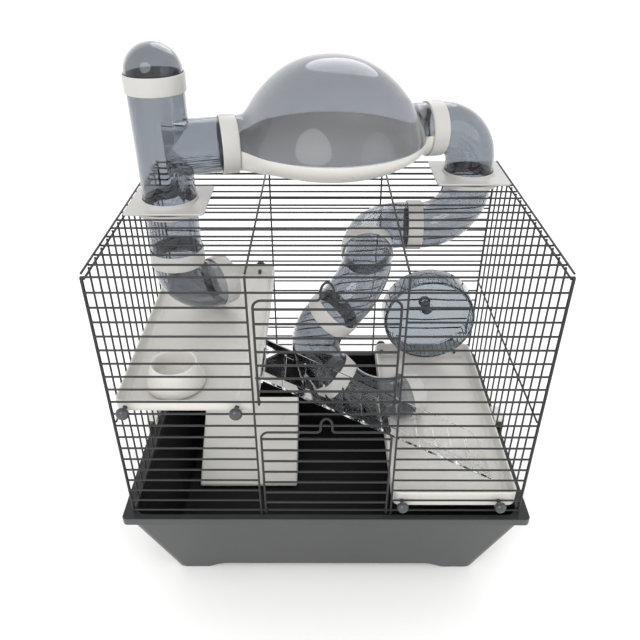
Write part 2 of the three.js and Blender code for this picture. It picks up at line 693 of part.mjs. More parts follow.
function buildDomeCap() {
  const base = topZ + teeRise + gap;
  const neck = collarLength / 2;
  const arc = (radius, height, from, to, steps) => Array.from({ length: steps + 1 }, (_, i) => {
    const angle = from + ((to - from) * i) / steps;
    return [Math.max(0, radius * Math.cos(angle)), neck + height * Math.sin(angle)];
  });
  const outer = arc(tubeRadius, tubeRadius - 1, 0, Math.PI / 2, 6);
  const inner = arc(tubeRadius - tubeWall, tubeRadius - 1 - tubeWall, Math.PI / 2, 0, 6);
  const profile = [[tubeRadius, 0], ...outer, ...inner, [tubeRadius - tubeWall, 0], [tubeRadius, 0]];
  return turned(profile, [...leftPort, base], tubeSides);
}

add('tee_tube', buildTee(), smokePlastic);
add('cap_collar', collar([...leftPort, topZ + teeRise], [0, 0, 1]), whitePlastic);
add('dome_cap', buildDomeCap(), smokePlastic);
add('branch_collar', collar(onBridge(branchLength), bridgeDirection), whitePlastic);
const elbowStart = onBridge(bridgeLength - rightLeg);
add('elbow_collar', collar(elbowStart, bridgeDirection), whitePlastic);
add('outer_elbow', bentTube(elbowStart, bridgeEnd, [...rightPort, joinZ]), smokePlastic);

// ---------- capsule on the bridge ----------
const podCentre = onBridge(podPlace);

function capsuleProfile(radius, height, sign, steps) {
  const crown = sign > 0 ? podCrown : 0.5;
  const bulge = sign > 0 ? podBulge : 2;
  return Array.from({ length: steps + 1 }, (_, i) => {
    const angle = (i / steps) * (Math.PI / 2);
    const share = Math.sin(angle);
    return [radius * share, sign * height * Math.max(0, 1 - share ** bulge) ** crown];
  });
}

function capsuleShell(height, sign, offset) {
  const raised = (radius, tall) =>
    capsuleProfile(radius, tall, sign, podSteps).map(([r, z]) => [r, z + offset]);
  const outer = raised(podRadius, height);
  const inner = raised(podRadius - podWall, height - podWall);
  const profile = sign < 0 ? [...outer, ...inner.reverse()] : [...inner, ...outer.reverse()];
  return turned(profile, podCentre, podSides);
}

// a straight bar through the capsule, from the branch collar to the elbow collar
function neckRod(radius, extra) {
  const length = bridgeLength - branchLength - rightLeg - 2 * gap + extra;
  return rod(onBridge((branchLength + bridgeLength - rightLeg) / 2), bridgeDirection, length, radius);
}

function buildPodBowl() {
  const below = capsuleProfile(podRadius - podWall, podDepth - podWall, -1, podSteps);
  const above = capsuleProfile(podRadius - podWall, podDomeHeight, 1, podSteps);
  const cavity = turned([...below, [0, 0]], podCentre, podSides);
  const room = turned([[0, 0], ...above.reverse()], podCentre, podSides);
  const necks = neckRod(tubeRadius, 0).subtract(cavity).subtract(room);
  return capsuleShell(podDepth, -1, 0).add(necks).subtract(neckRod(tubeRadius - tubeWall, 4));
}

function buildPodDome() {
  const clearance = neckRod(tubeRadius / Math.cos(Math.PI / tubeSides) + gap, 20);
  return capsuleShell(podDomeHeight, 1, gap).subtract(clearance);
}

add('pod_bowl', buildPodBowl(), whitePlastic);
add('pod_dome', buildPodDome(), smokePlastic);

// ---------- tubes inside the cage, right-hand route ----------
// corner points of the route, X, Y and height above the tray's rim
const routeLevel = cageHeight - routeDrop;
const routeTurn = routeLevel - routeFall;
const routeLow = shelfFloor(lowerShelf) + routeFloorGap + tubeRadius;
const routeCorners = [
  [...rightPort, routeLevel],
  [49.5, rightPort[1], routeLevel],
  [49.5, -12, routeTurn],
  [-31, -5, routeLow + (routeTurn - routeLow) * routeShare],
  [50, -18, routeLow],
].map(([x, y, z]) => [x, y, rimZ + z]);
const routeEnd = [lowerShelf.left + 35, 7, rimZ + routeLow];

const letters = ['a', 'b', 'c', 'd', 'e'];
let previous = [...rightPort, joinZ];
routeCorners.forEach((corner, i) => {
  const isLast = i === routeCorners.length - 1;
  const next = isLast ? routeEnd : between(corner, routeCorners[i + 1], 0.5);
  const after = isLast ? routeEnd : routeCorners[i + 1];
  add(`route_elbow_${letters[i]}`, bentTube(previous, corner, next), smokePlastic);
  add(`route_collar_${letters[i]}`, collar(next, direction(corner, after)), whitePlastic);
  previous = next;
});

// ---------- tubes inside the cage, left-hand drop to the upper shelf ----------
const dropLow = rimZ + shelfFloor(upperShelf) + dropFloorGap + tubeRadius;
const dropZ = dropLow + dropLeg;
const dropCorner = [...leftPort, dropLow];
const dropEnd = [leftPort[0] + 41, leftPort[1] + 36, dropLow];
add('drop_tube', rod([...leftPort, (joinZ + dropZ) / 2], [0, 0, 1], joinZ - dropZ - 2 * gap,
  tubeRadius, tubeRadius - tubeWall), smokePlastic);
add('drop_collar', collar([...leftPort, dropZ], [0, 0, 1]), whitePlastic);
add('drop_elbow', bentTube([...leftPort, dropZ], dropCorner, dropEnd), smokePlastic);
add('drop_end_collar', collar(dropEnd, direction(dropCorner, dropEnd)), whitePlastic);

// the capsule reaches further back than the pegs reach forward
const frontReach = half.y + wire + gap + pegHead;
const backReach = podCentre[1] + podRadius;
cage.position.set(0, (frontReach - backReach) / 2, 0);

export default cage;
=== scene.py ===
import bpy
import bmesh
import json
import math
from mathutils import Matrix, Vector


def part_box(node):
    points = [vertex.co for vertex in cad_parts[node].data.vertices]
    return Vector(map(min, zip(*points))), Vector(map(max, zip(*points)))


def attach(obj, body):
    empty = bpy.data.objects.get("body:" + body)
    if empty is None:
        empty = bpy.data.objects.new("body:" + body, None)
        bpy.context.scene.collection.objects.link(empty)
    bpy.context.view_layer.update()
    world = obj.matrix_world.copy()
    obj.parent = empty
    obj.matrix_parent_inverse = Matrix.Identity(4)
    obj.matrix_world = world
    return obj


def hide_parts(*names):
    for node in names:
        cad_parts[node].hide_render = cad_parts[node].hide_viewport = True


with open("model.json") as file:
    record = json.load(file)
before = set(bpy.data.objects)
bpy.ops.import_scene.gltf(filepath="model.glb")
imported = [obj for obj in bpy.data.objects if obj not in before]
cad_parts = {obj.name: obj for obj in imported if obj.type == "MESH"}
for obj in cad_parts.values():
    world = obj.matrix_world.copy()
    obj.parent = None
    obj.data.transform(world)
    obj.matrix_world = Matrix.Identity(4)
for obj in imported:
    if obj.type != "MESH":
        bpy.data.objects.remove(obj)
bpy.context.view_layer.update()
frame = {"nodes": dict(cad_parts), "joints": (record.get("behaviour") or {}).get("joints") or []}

mm = 0.001
boxes = {name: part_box(name) for name in frame["nodes"]}
joints = {joint["name"]: joint for joint in frame["joints"]}
trayLow, trayHigh = boxes["base_tray"]
midY = (trayLow.y + trayHigh.y) / 2   # the cage is centred on the tray, the outline isn't
rimTop = trayHigh.z
print("frame loaded:", len(boxes), "nodes")


def at(x, y, z):
    # a point given in the part's own millimetres
    return Vector((x * mm, y * mm + midY, z * mm))


# ---- stage: floor, light, camera ----
studio = {
    "floorColor": (0.93, 0.93, 0.925),
    "floorSize": 14.0,
    "worldStrength": 1.12,
    "lightAim": (0.0, 0.0, 0.25),
    "lensMm": 36.21,
    "cameraPlace": (-5.1, -649.6, 699.5),
    "cameraTurn": (57.329, 0.0447, 0.1364),
}
lights = {
    "keyLight": {"place": (-0.9, -2.2, 1.75), "size": 2.0, "power": 32.0, "color": (1.0, 0.99, 0.97)},
    "fillLight": {"place": (1.9, -1.2, 1.1), "size": 1.8, "power": 7.0, "color": (1.0, 1.0, 1.0)},
    "backLight": {"place": (0.3, 1.8, 2.0), "size": 1.8, "power": 14.0, "color": (0.97, 0.98, 1.0)},
}


def areaLight(name, light):
    data = bpy.data.lights.new(name, "AREA")
    data.shape = "DISK"
    data.size = light["size"]
    data.energy = light["power"]
    data.color = light["color"]
    obj = bpy.data.objects.new(name, data)
    obj.location = light["place"]
    ray = Vector(studio["lightAim"]) - Vector(light["place"])
    obj.rotation_euler = ray.to_track_quat("-Z", "Y").to_euler()
    bpy.context.collection.objects.link(obj)


def buildStudio():
    scene = bpy.context.scene
    scene.view_settings.view_transform = "Standard"
    scene.view_settings.look = "None"
    scene.cycles.transparent_max_bounces = 32
    scene.cycles.transmission_bounces = 18
    scene.cycles.max_bounces = 20
    world = bpy.data.worlds.new("studioWorld")
    world.use_nodes = True
    background = world.node_tree.nodes["Background"]
    background.inputs["Color"].default_value = (1.0, 1.0, 1.0, 1.0)
    background.inputs["Strength"].default_value = studio["worldStrength"]
    scene.world = world
    for name, light in lights.items():
        areaLight(name, light)
    floorMesh = bpy.data.meshes.new("studioFloor")
    s = studio["floorSize"] / 2
    floorMesh.from_pydata([(-s, -s, 0), (s, -s, 0), (s, s, 0), (-s, s, 0)], [], [(0, 1, 2, 3)])
    floor = bpy.data.objects.new("studioFloor", floorMesh)
    floor.location.z = -0.0006
    bpy.context.collection.objects.link(floor)
    floor.data.materials.append(plainFloor())
    cameraData = bpy.data.cameras.new("productCamera")
    cameraData.lens = studio["lensMm"]
    cameraData.sensor_width = 36.0
    cameraData.clip_start = 0.01
    camera = bpy.data.objects.new("productCamera", cameraData)
    camera.location = at(*studio["cameraPlace"])
    camera.rotation_euler = [math.radians(a) for a in studio["cameraTurn"]]
    bpy.context.collection.objects.link(camera)
    scene.camera = camera
    print("studio ready")


# ---- shared surface effects ----
def effectGroup(name, inputs, outputs):
    tree = bpy.data.node_groups.new(name, "ShaderNodeTree")
    for label, value in inputs:
        socket = tree.interface.new_socket(name=label, in_out="INPUT", socket_type="NodeSocketFloat")
        socket.default_value = value
    for label in outputs:
        tree.interface.new_socket(name=label, in_out="OUTPUT", socket_type="NodeSocketFloat")
    groupIn = tree.nodes.new("NodeGroupInput")
    groupOut = tree.nodes.new("NodeGroupOutput")
    return tree, groupIn, groupOut


def mathNode(tree, operation, a, b=None, clamp=False):
    node = tree.nodes.new("ShaderNodeMath")
    node.operation = operation
    node.use_clamp = clamp
    for slot, value in ((0, a), (1, b)):
        if value is None:
            continue
        if isinstance(value, (int, float)):
            node.inputs[slot].default_value = value
        else:
            tree.links.new(value, node.inputs[slot])
    return node.outputs[0]


def times(tree, a, b, clamp=False):
    return mathNode(tree, "MULTIPLY", a, b, clamp)


def noiseNode(tree, vector, scale, detail, rough):
    node = tree.nodes.new("ShaderNodeTexNoise")
    node.inputs["Detail"].default_value = detail
    node.inputs["Roughness"].default_value = rough
    tree.links.new(vector, node.inputs["Vector"])
    if isinstance(scale, (int, float)):
        node.inputs["Scale"].default_value = scale
    else:
        tree.links.new(scale, node.inputs["Scale"])
    return node.outputs[0]


def rampNode(tree, value, low, high):
    node = tree.nodes.new("ShaderNodeMapRange")
    node.clamp = True
    tree.links.new(value, node.inputs["Value"])
    node.inputs["From Min"].default_value = low
    node.inputs["From Max"].default_value = high
    return node.outputs[0]


def buildMouldedSurface():
    # fine moulding texture, slow tone drift and a few dust specks
    tree, groupIn, groupOut = effectGroup(
        "mouldedSurface",
        [("Grain Scale", 900.0), ("Tone Scale", 9.0), ("Speck Scale", 260.0)],
        ["Height", "Tone", "Specks"])
    place = tree.nodes.new("ShaderNodeTexCoord").outputs["Object"]
    fine = noiseNode(tree, place, groupIn.outputs["Grain Scale"], 4.0, 0.6)
    flow = noiseNode(tree, place, 34.0, 2.0, 0.4)
    height = mathNode(tree, "ADD", times(tree, fine, 0.35), times(tree, flow, 0.9))
    tone = rampNode(tree, noiseNode(tree, place, groupIn.outputs["Tone Scale"], 4.0, 0.55), 0.3, 0.7)
    specks = rampNode(tree, noiseNode(tree, place, groupIn.outputs["Speck Scale"], 1.0, 0.4), 0.76, 0.84)
    tree.links.new(height, groupOut.inputs["Height"])
    tree.links.new(tone, groupOut.inputs["Tone"])
    tree.links.new(specks, groupOut.inputs["Specks"])
    return tree


def buildEdgeRubSheenAndDust():
    # outer edges are painted lighter, partly as wear where they are handled and partly as a painted
    # highlight; inner corners hold dust
    tree, groupIn, groupOut = effectGroup(
        "edgeRubSheenAndDust", [("Break Scale", 120.0), ("Break Amount", 0.5)], ["Edge", "Corner"])
    place = tree.nodes.new("ShaderNodeTexCoord").outputs["Object"]
    bend = tree.nodes.new("ShaderNodeNewGeometry").outputs["Pointiness"]
    breakUp = noiseNode(tree, place, groupIn.outputs["Break Scale"], 3.0, 0.6)
    kept = mathNode(tree, "SUBTRACT", 1.0, times(tree, breakUp, groupIn.outputs["Break Amount"]))
    edge = times(tree, rampNode(tree, bend, 0.53, 0.64), kept, True)
    hollow = mathNode(tree, "SUBTRACT", 1.0, bend)
    corner = times(tree, rampNode(tree, hollow, 0.53, 0.66), kept, True)
    tree.links.new(edge, groupOut.inputs["Edge"])
    tree.links.new(corner, groupOut.inputs["Corner"])
    return tree


def buildFineScuffs():
    # hair-thin rubbing marks in two directions
    tree, groupIn, groupOut = effectGroup("fineScuffs", [("Scale", 60.0)], ["Marks"])
    place = tree.nodes.new("ShaderNodeTexCoord").outputs["Object"]
    marks = []
    for stretch, turn in (((1.0, 26.0, 5.0), 0.5), ((24.0, 1.0, 7.0), -0.4)):
        mapping = tree.nodes.new("ShaderNodeMapping")
        mapping.inputs["Scale"].default_value = stretch
        mapping.inputs["Rotation"].default_value = (0.2, turn, turn)
        tree.links.new(place, mapping.inputs["Vector"])
        streak = noiseNode(tree, mapping.outputs[0], groupIn.outputs["Scale"], 2.0, 0.5)
        marks.append(rampNode(tree, streak, 0.66, 0.74))
    tree.links.new(mathNode(tree, "MAXIMUM", marks[0], marks[1]), groupOut.inputs["Marks"])
    return tree


effects = {
    "surface": buildMouldedSurface(),
    "rubAndSheen": buildEdgeRubSheenAndDust(),
    "scuffs": buildFineScuffs(),
}


def startMaterial(name):
    material = bpy.data.materials.new(name)
    material.use_nodes = True
    return material, material.node_tree, material.node_tree.nodes["Principled BSDF"]


def useEffect(tree, key, **values):
    node = tree.nodes.new("ShaderNodeGroup")
    node.node_tree = effects[key]
    for label, value in values.items():
        node.inputs[label.replace("_", " ")].default_value = value
    return node


def mixColor(tree, factor, first, second):
    node = tree.nodes.new("ShaderNodeMix")
    node.data_type = "RGBA"
    node.clamp_factor = True
    tree.links.new(factor, node.inputs[0])
    for slot, value in ((6, first), (7, second)):
        if isinstance(value, tuple):
            node.inputs[slot].default_value = (*value, 1.0)
        else:
            tree.links.new(value, node.inputs[slot])
    return node.outputs[2]


def bumpFrom(tree, height, strength, distance):
    node = tree.nodes.new("ShaderNodeBump")
    node.inputs["Strength"].default_value = strength
    node.inputs["Distance"].default_value = distance
    tree.links.new(height, node.inputs["Height"])
    return node.outputs[0]


def mapTo(tree, value, low, high):
    node = tree.nodes.new("ShaderNodeMapRange")
    tree.links.new(value, node.inputs["Value"])
    node.inputs["To Min"].default_value = low
    node.inputs["To Max"].default_value = high
    return node.outputs[0]


def mouldedPlastic(name, look):
    # opaque moulded plastic: tone drift, rubbed edges with a painted edge highlight, dusty corners, faint
    # scuffs
    material, tree, shader = startMaterial(name)
    surface = useEffect(tree, "surface", Grain_Scale=look["grainScale"], Tone_Scale=look["toneScale"])
    rubAndSheen = useEffect(tree, "rubAndSheen", Break_Scale=150.0, Break_Amount=0.6)
    scuffs = useEffect(tree, "scuffs", Scale=look["scuffScale"])
    body = mixColor(tree, surface.outputs["Tone"], look["color"], look["toneColor"])
    dusty = mixColor(tree, times(tree, rubAndSheen.outputs["Corner"], look["dust"]), body, look["dustColor"])
    # outer edges lightened: partly rubbing wear, partly a painted highlight
    rubbedWithSheen = mixColor(tree, times(tree, rubAndSheen.outputs["Edge"], look["rubAndSheen"]), dusty, look["rubAndSheenColor"])
    specked = mixColor(tree, times(tree, surface.outputs["Specks"], look["specks"]), rubbedWithSheen,
                       look["dustColor"])
    tree.links.new(specked, shader.inputs["Base Color"])
    marked = mathNode(tree, "ADD", times(tree, scuffs.outputs["Marks"], 0.5),
                      times(tree, surface.outputs["Tone"], 0.5))
    tree.links.new(mapTo(tree, marked, look["roughness"], look["roughness"] + 0.14),
                   shader.inputs["Roughness"])
    tree.links.new(bumpFrom(tree, surface.outputs["Height"], look["bump"], 0.0004), shader.inputs["Normal"])
    shader.inputs["IOR"].default_value = 1.49
    shader.inputs["Specular IOR Level"].default_value = look["specular"]
    return material


def clearPlastic(name, look):
    # see-through plastic: the mesh gives its thickness; tint, haze and lighter shadows are set here
    material, tree, shader = startMaterial(name)
    surface = useEffect(tree, "surface", Grain_Scale=look["grainScale"], Tone_Scale=14.0)
    scuffs = useEffect(tree, "scuffs", Scale=look["scuffScale"])
    tint = mixColor(tree, surface.outputs["Tone"], look["tint"], look["tintShift"])
    hazed = mixColor(tree, times(tree, scuffs.outputs["Marks"], look["haze"]), tint, (0.9, 0.9, 0.9))
    tree.links.new(hazed, shader.inputs["Base Color"])
    tree.links.new(mapTo(tree, scuffs.outputs["Marks"], look["roughness"], look["roughness"] + 0.05),
                   shader.inputs["Roughness"])
    tree.links.new(bumpFrom(tree, surface.outputs["Height"], look["bump"], 0.0003), shader.inputs["Normal"])
    shader.inputs["Transmission Weight"].default_value = 1.0
    shader.inputs["IOR"].default_value = look["ior"]
    path = tree.nodes.new("ShaderNodeLightPath")
    shade = mathNode(tree, "SUBTRACT", 1.0, times(tree, path.outputs["Is Shadow Ray"], look["lightThrough"]))
    tree.links.new(shade, shader.inputs["Alpha"])
    return material


def plainFloor():
    material, tree, shader = startMaterial("studioFloor")
    place = tree.nodes.new("ShaderNodeTexCoord").outputs["Object"]
    drift = noiseNode(tree, place, 1.5, 2.0, 0.4)
    color = studio["floorColor"]
    tree.links.new(mixColor(tree, drift, color, tuple(c * 0.985 for c in color)), shader.inputs["Base Color"])
    shader.inputs["Roughness"].default_value = 0.75
    return material


looks = {
    "whitePlastic": {
        "color": (0.63, 0.617, 0.585), "toneColor": (0.605, 0.59, 0.552), "dustColor": (0.36, 0.335, 0.29),
        "rubAndSheenColor": (0.78, 0.77, 0.74), "dust": 0.35, "rubAndSheen": 0.35, "specks": 0.22, "roughness": 0.3,
        "bump": 0.12, "grainScale": 1500.0, "toneScale": 7.0, "scuffScale": 70.0, "specular": 0.5,
    },
    # a lighter copy of the white plastic for the hide: painted light
    "hidePaintedLightPlastic": {
        "color": (0.74, 0.725, 0.69), "toneColor": (0.715, 0.7, 0.66), "dustColor": (0.4, 0.375, 0.33),
        "rubAndSheenColor": (0.8, 0.79, 0.76), "dust": 0.0, "rubAndSheen": 0.1, "specks": 0.2, "roughness": 0.32,
        "bump": 0.12, "grainScale": 1500.0, "toneScale": 7.0, "scuffScale": 70.0, "specular": 0.5,
    },
    "bandPlastic": {
        "color": (0.47, 0.463, 0.445), "toneColor": (0.45, 0.443, 0.424), "dustColor": (0.4, 0.37, 0.33),
        "rubAndSheenColor": (0.8, 0.79, 0.77), "dust": 0.3, "rubAndSheen": 0.3, "specks": 0.18, "roughness": 0.26,
        "bump": 0.1, "grainScale": 1700.0, "toneScale": 16.0, "scuffScale": 90.0, "specular": 0.5,
    },
    "trayOutside": {
        "color": (0.043, 0.0445, 0.046), "toneColor": (0.039, 0.0405, 0.042),
        "dustColor": (0.17, 0.17, 0.165), "rubAndSheenColor": (0.16, 0.163, 0.168), "dust": 0.2, "rubAndSheen": 0.45,
        "specks": 0.12, "roughness": 0.34, "bump": 0.16, "grainScale": 1300.0,
        "toneScale": 5.0, "scuffScale": 55.0, "specular": 0.6,
    },
    # a darker copy of the tray plastic for the rim top: painted shade
    "trayRimPaintedShade": {
        "color": (0.03, 0.031, 0.032), "toneColor": (0.025, 0.026, 0.027), "dustColor": (0.1, 0.1, 0.095),
        "rubAndSheenColor": (0.09, 0.09, 0.095), "dust": 0.15, "rubAndSheen": 0.4, "specks": 0.1, "roughness": 0.42,
        "bump": 0.14, "grainScale": 1300.0, "toneScale": 6.0, "scuffScale": 55.0, "specular": 0.2,
    },
    # a darker copy of the tray plastic for the inner walls and floor: painted shade
    "trayInsidePaintedShade": {
        "color": (0.006, 0.006, 0.0062), "toneColor": (0.008, 0.008, 0.0082),
        "dustColor": (0.04, 0.039, 0.037), "rubAndSheenColor": (0.03, 0.03, 0.031), "dust": 0.12, "rubAndSheen": 0.25,
        "specks": 0.08, "roughness": 0.5, "bump": 0.14, "grainScale": 1300.0,
        "toneScale": 6.0, "scuffScale": 60.0, "specular": 0.08,
    },
    "enamelWire": {
        "color": (0.017, 0.017, 0.0185), "toneColor": (0.013, 0.013, 0.0145),
        "dustColor": (0.05, 0.049, 0.047), "rubAndSheenColor": (0.06, 0.06, 0.063), "dust": 0.15, "rubAndSheen": 0.25,
        "specks": 0.15, "roughness": 0.36, "bump": 0.2, "grainScale": 2200.0,
        "toneScale": 30.0, "scuffScale": 160.0, "specular": 0.4,
    },
    "knobPlastic": {
        "color": (0.05, 0.051, 0.055), "toneColor": (0.043, 0.044, 0.047), "dustColor": (0.12, 0.12, 0.115),
        "rubAndSheenColor": (0.1, 0.1, 0.105), "dust": 0.15, "rubAndSheen": 0.3, "specks": 0.2, "roughness": 0.17,
        "bump": 0.06, "grainScale": 2000.0, "toneScale": 60.0, "scuffScale": 200.0, "specular": 0.6,
    },
    "smokePlastic": {
        "tint": (0.455, 0.475, 0.51), "tintShift": (0.43, 0.452, 0.487), "grainScale": 500.0,
        "scuffScale": 50.0, "haze": 0.1, "roughness": 0.015, "bump": 0.05, "ior": 1.42, "lightThrough": 0.6,
    },
    "domePlastic": {
        "tint": (0.485, 0.5, 0.53), "tintShift": (0.465, 0.48, 0.51), "grainScale": 500.0, "scuffScale": 40.0,
        "haze": 0.1, "roughness": 0.015, "bump": 0.04, "ior": 1.35, "lightThrough": 0.6,
    },
    "wheelPlastic": {
        "tint": (0.34, 0.375, 0.41), "tintShift": (0.32, 0.355, 0.39), "grainScale": 500.0,
        "scuffScale": 60.0, "haze": 0.12, "roughness": 0.02, "bump": 0.05, "ior": 1.42, "lightThrough": 0.6,
    },
    "rampPlastic": {
        "tint": (0.96, 0.965, 0.97), "tintShift": (0.94, 0.945, 0.95), "grainScale": 420.0,
        "scuffScale": 45.0, "haze": 0.15, "roughness": 0.02, "bump": 0.06, "ior": 1.18, "lightThrough": 0.85,
    },
}
materials = {}
for lookName, look in looks.items():
    make = clearPlastic if "tint" in look else mouldedPlastic
    materials[lookName] = make(lookName, look)
buildStudio()
print("materials ready:", len(materials))


# ---- mesh helpers ----
axisGap = 0.05   # how near a turned profile comes to its own axis


def finishPiece(obj, body, material, replaced, sharp=35.0):
    obj.data.materials.append(materials[material])
    obj.data.shade_smooth()
    obj.data.set_sharp_from_angle(angle=math.radians(sharp))
    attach(obj, body)
    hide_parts(*replaced)


def evenShading(obj):
    # large flat faces keep their own direction next to cut edges
    weighted = obj.modifiers.new("evenShading", "WEIGHTED_NORMAL")
    weighted.keep_sharp = True
    weighted.weight = 100


def meshObject(name, points, faces):
    data = bpy.data.meshes.new(name)
    data.from_pydata([tuple(p) for p in points], [], faces)
    data.validate()
    mesh = bmesh.new()
    mesh.from_mesh(data)
    bmesh.ops.recalc_face_normals(mesh, faces=mesh.faces)
    mesh.to_mesh(data)
    mesh.free()
    obj = bpy.data.objects.new(name, data)
    bpy.context.collection.objects.link(obj)
    return obj


def ringsToObject(name, rings, loop=False):
    # joins rings that all have the same number of points; loop also joins the last to the first
    count = len(rings[0])
    points = [p for ring in rings for p in ring]
    faces = []
    pairs = len(rings) if loop else len(rings) - 1
    for r in range(pairs):
        base, after = r * count, ((r + 1) % len(rings)) * count
        for i in range(count):
            j = (i + 1) % count
            faces.append((base + i, base + j, after + j, after + i))
    if not loop:
        faces.append(tuple(range(count)))
        faces.append(tuple(range((len(rings) - 1) * count, len(rings) * count)))
    return meshObject(name, points, faces)


def turnedObject(name, profile, centre, axis, sides):
    # a profile of (radius, height) in millimetres turned about an axis; a profile that starts or ends on
    # the axis gets a small flat cap there, any other joins its last ring to its first
    turn = Vector((0, 0, 1)).rotation_difference(Vector(axis)).to_matrix()
    rings = []
    for radius, z in profile:
        ring = []
        r = max(radius, axisGap)
        for i in range(sides):
            angle = 2 * math.pi * i / sides
            local = Vector((r * math.cos(angle), r * math.sin(angle), z)) * mm
            ring.append(Vector(centre) + turn @ local)
        rings.append(ring)
    closed = profile[0][0] > axisGap and profile[-1][0] > axisGap
    return ringsToObject(name, rings, loop=closed)


def splineAt(t, p, q, r, w):
    # the curve between q and r, with p and w as their neighbours
    squared = 2 * p - 5 * q + 4 * r - w
    cubed = 3 * q - p - 3 * r + w
    return 0.5 * (2 * q + (r - p) * t + squared * t * t + cubed * t ** 3)


def smoothLine(points, steps):
    # a curve through the points, so that a short profile turns into a smooth one
    result = []
    last = len(points) - 1
    for k in range(last):
        before, a = points[max(k - 1, 0)], points[k]
        b, after = points[k + 1], points[min(k + 2, last)]
        for s in range(steps):
            t = s / steps
            result.append(tuple(splineAt(t, *values) for values in zip(before, a, b, after)))
    result.append(tuple(points[-1]))
    return result


def roundedRing(x0, x1, y0, y1, corner, z, cornerSteps=8, edgeSteps=1):
    # a rounded rectangle in metres; edgeSteps adds points along its straight sides
    ring = []
    corners = ((x1, y1, 0), (x0, y1, 1), (x0, y0, 2), (x1, y0, 3))
    for x, y, quarter in corners:
        cx = x - corner if x == x1 else x + corner
        cy = y - corner if y == y1 else y + corner
        for i in range(cornerSteps + 1):
            angle = (quarter + i / cornerSteps) * math.pi / 2
            ring.append(Vector((cx + corner * math.cos(angle), cy + corner * math.sin(angle), z)))
    if edgeSteps > 1:
        dense = []
        for i, p in enumerate(ring):
            q = ring[(i + 1) % len(ring)]
            dense.append(p)
            if i % (cornerSteps + 1) == cornerSteps:
                dense += [p.lerp(q, s / edgeSteps) for s in range(1, edgeSteps)]
        ring = dense
    return ring


def applyCut(obj, cutter, operation="DIFFERENCE"):
    cut = obj.modifiers.new("cut", "BOOLEAN")
    cut.operation = operation
    cut.object = cutter
    cut.solver = "EXACT"
    bakeModifiers(obj)
    bpy.data.objects.remove(cutter)


def bakeModifiers(obj):
    depsgraph = bpy.context.evaluated_depsgraph_get()
    shaped = bpy.data.meshes.new_from_object(obj.evaluated_get(depsgraph))
    obj.modifiers.clear()
    obj.data = shaped


def softCopy(node, width, segments):
    # the CAD node's own shape with its edges rounded
    data = frame["nodes"][node].data.copy()
    data.materials.clear()
    mesh = bmesh.new()
    mesh.from_mesh(data)
    bmesh.ops.remove_doubles(mesh, verts=mesh.verts, dist=2e-6)
    bmesh.ops.dissolve_limit(mesh, angle_limit=math.radians(1.5), verts=mesh.verts, edges=mesh.edges)
    mesh.to_mesh(data)
    mesh.free()
    obj = bpy.data.objects.new(node + "_soft", data)
    bpy.context.collection.objects.link(obj)
    bevel = obj.modifiers.new("edges", "BEVEL")
    bevel.width = width * mm
    bevel.segments = segments
    bevel.limit_method = "ANGLE"
    bevel.angle_limit = math.radians(30.0)
    bakeModifiers(obj)
    return obj


def wireObject(name, runs, radius, body, replaced):
    # round wires from lists of points
    data = bpy.data.curves.new(name, "CURVE")
    data.dimensions = "3D"
    data.bevel_depth = radius
    data.bevel_resolution = 2
    data.use_fill_caps = True
    for run in runs:
        spline = data.splines.new("POLY")
        spline.points.add(len(run) - 1)
        for point, place in zip(spline.points, run):
            point.co = (*place, 1.0)
    curve = bpy.data.objects.new(name + "_curve", data)
    bpy.context.collection.objects.link(curve)
    depsgraph = bpy.context.evaluated_depsgraph_get()
    shaped = bpy.data.meshes.new_from_object(curve.evaluated_get(depsgraph))
    bpy.data.objects.remove(curve)
    shaped.materials.clear()
    mesh = bmesh.new()
    mesh.from_mesh(shaped)
    bmesh.ops.remove_doubles(mesh, verts=mesh.verts, dist=1e-6)
    bmesh.ops.recalc_face_normals(mesh, faces=mesh.faces)
    mesh.to_mesh(shaped)
    mesh.free()
    obj = bpy.data.objects.new(name, shaped)
    bpy.context.collection.objects.link(obj)
    finishPiece(obj, body, "enamelWire", replaced, 50.0)


# ---- tray ----
tray = {
    "wall": 3.0, "taperX": 40.0, "taperY": 22.0, "stepX": 3.0, "stepY": 5.0, "ledge": 14.5,
    "rimLip": 10.0, "corner": 14.0, "mouthCorner": 12.0, "lipCorner": 6.0, "edge": 1.2,
    "footHeight": 10.0, "footLength": 34.0, "footSlope": 30.0, "archReach": 400.0,
}


def trayRing(insetX, insetY, z, corner):
    return roundedRing(trayLow.x + insetX * mm, trayHigh.x - insetX * mm,
                       trayLow.y + insetY * mm, trayHigh.y - insetY * mm, corner * mm, z * mm, 10)


def footCutter(name, reach, along):
    # the raised bottom between two feet, with soft shoulders
    span = tray["archReach"]
    outline = []
    flat = reach - tray["footLength"]
    for s in range(13):
        t = s / 12
        ease = t * t * (3 - 2 * t)
        outline.append((flat - tray["footSlope"] * t, tray["footHeight"] * ease))
    outline = [(flat + 0.01, -4.0)] + outline
    outline += [(-x, z) for x, z in reversed(outline)]
    rings = []
    for end in (-span, span):
        if along == "y":
            rings.append([at(x, end, z) for x, z in outline])
        else:
            rings.append([at(end, x, z) for x, z in outline])
    return ringsToObject(name, rings)


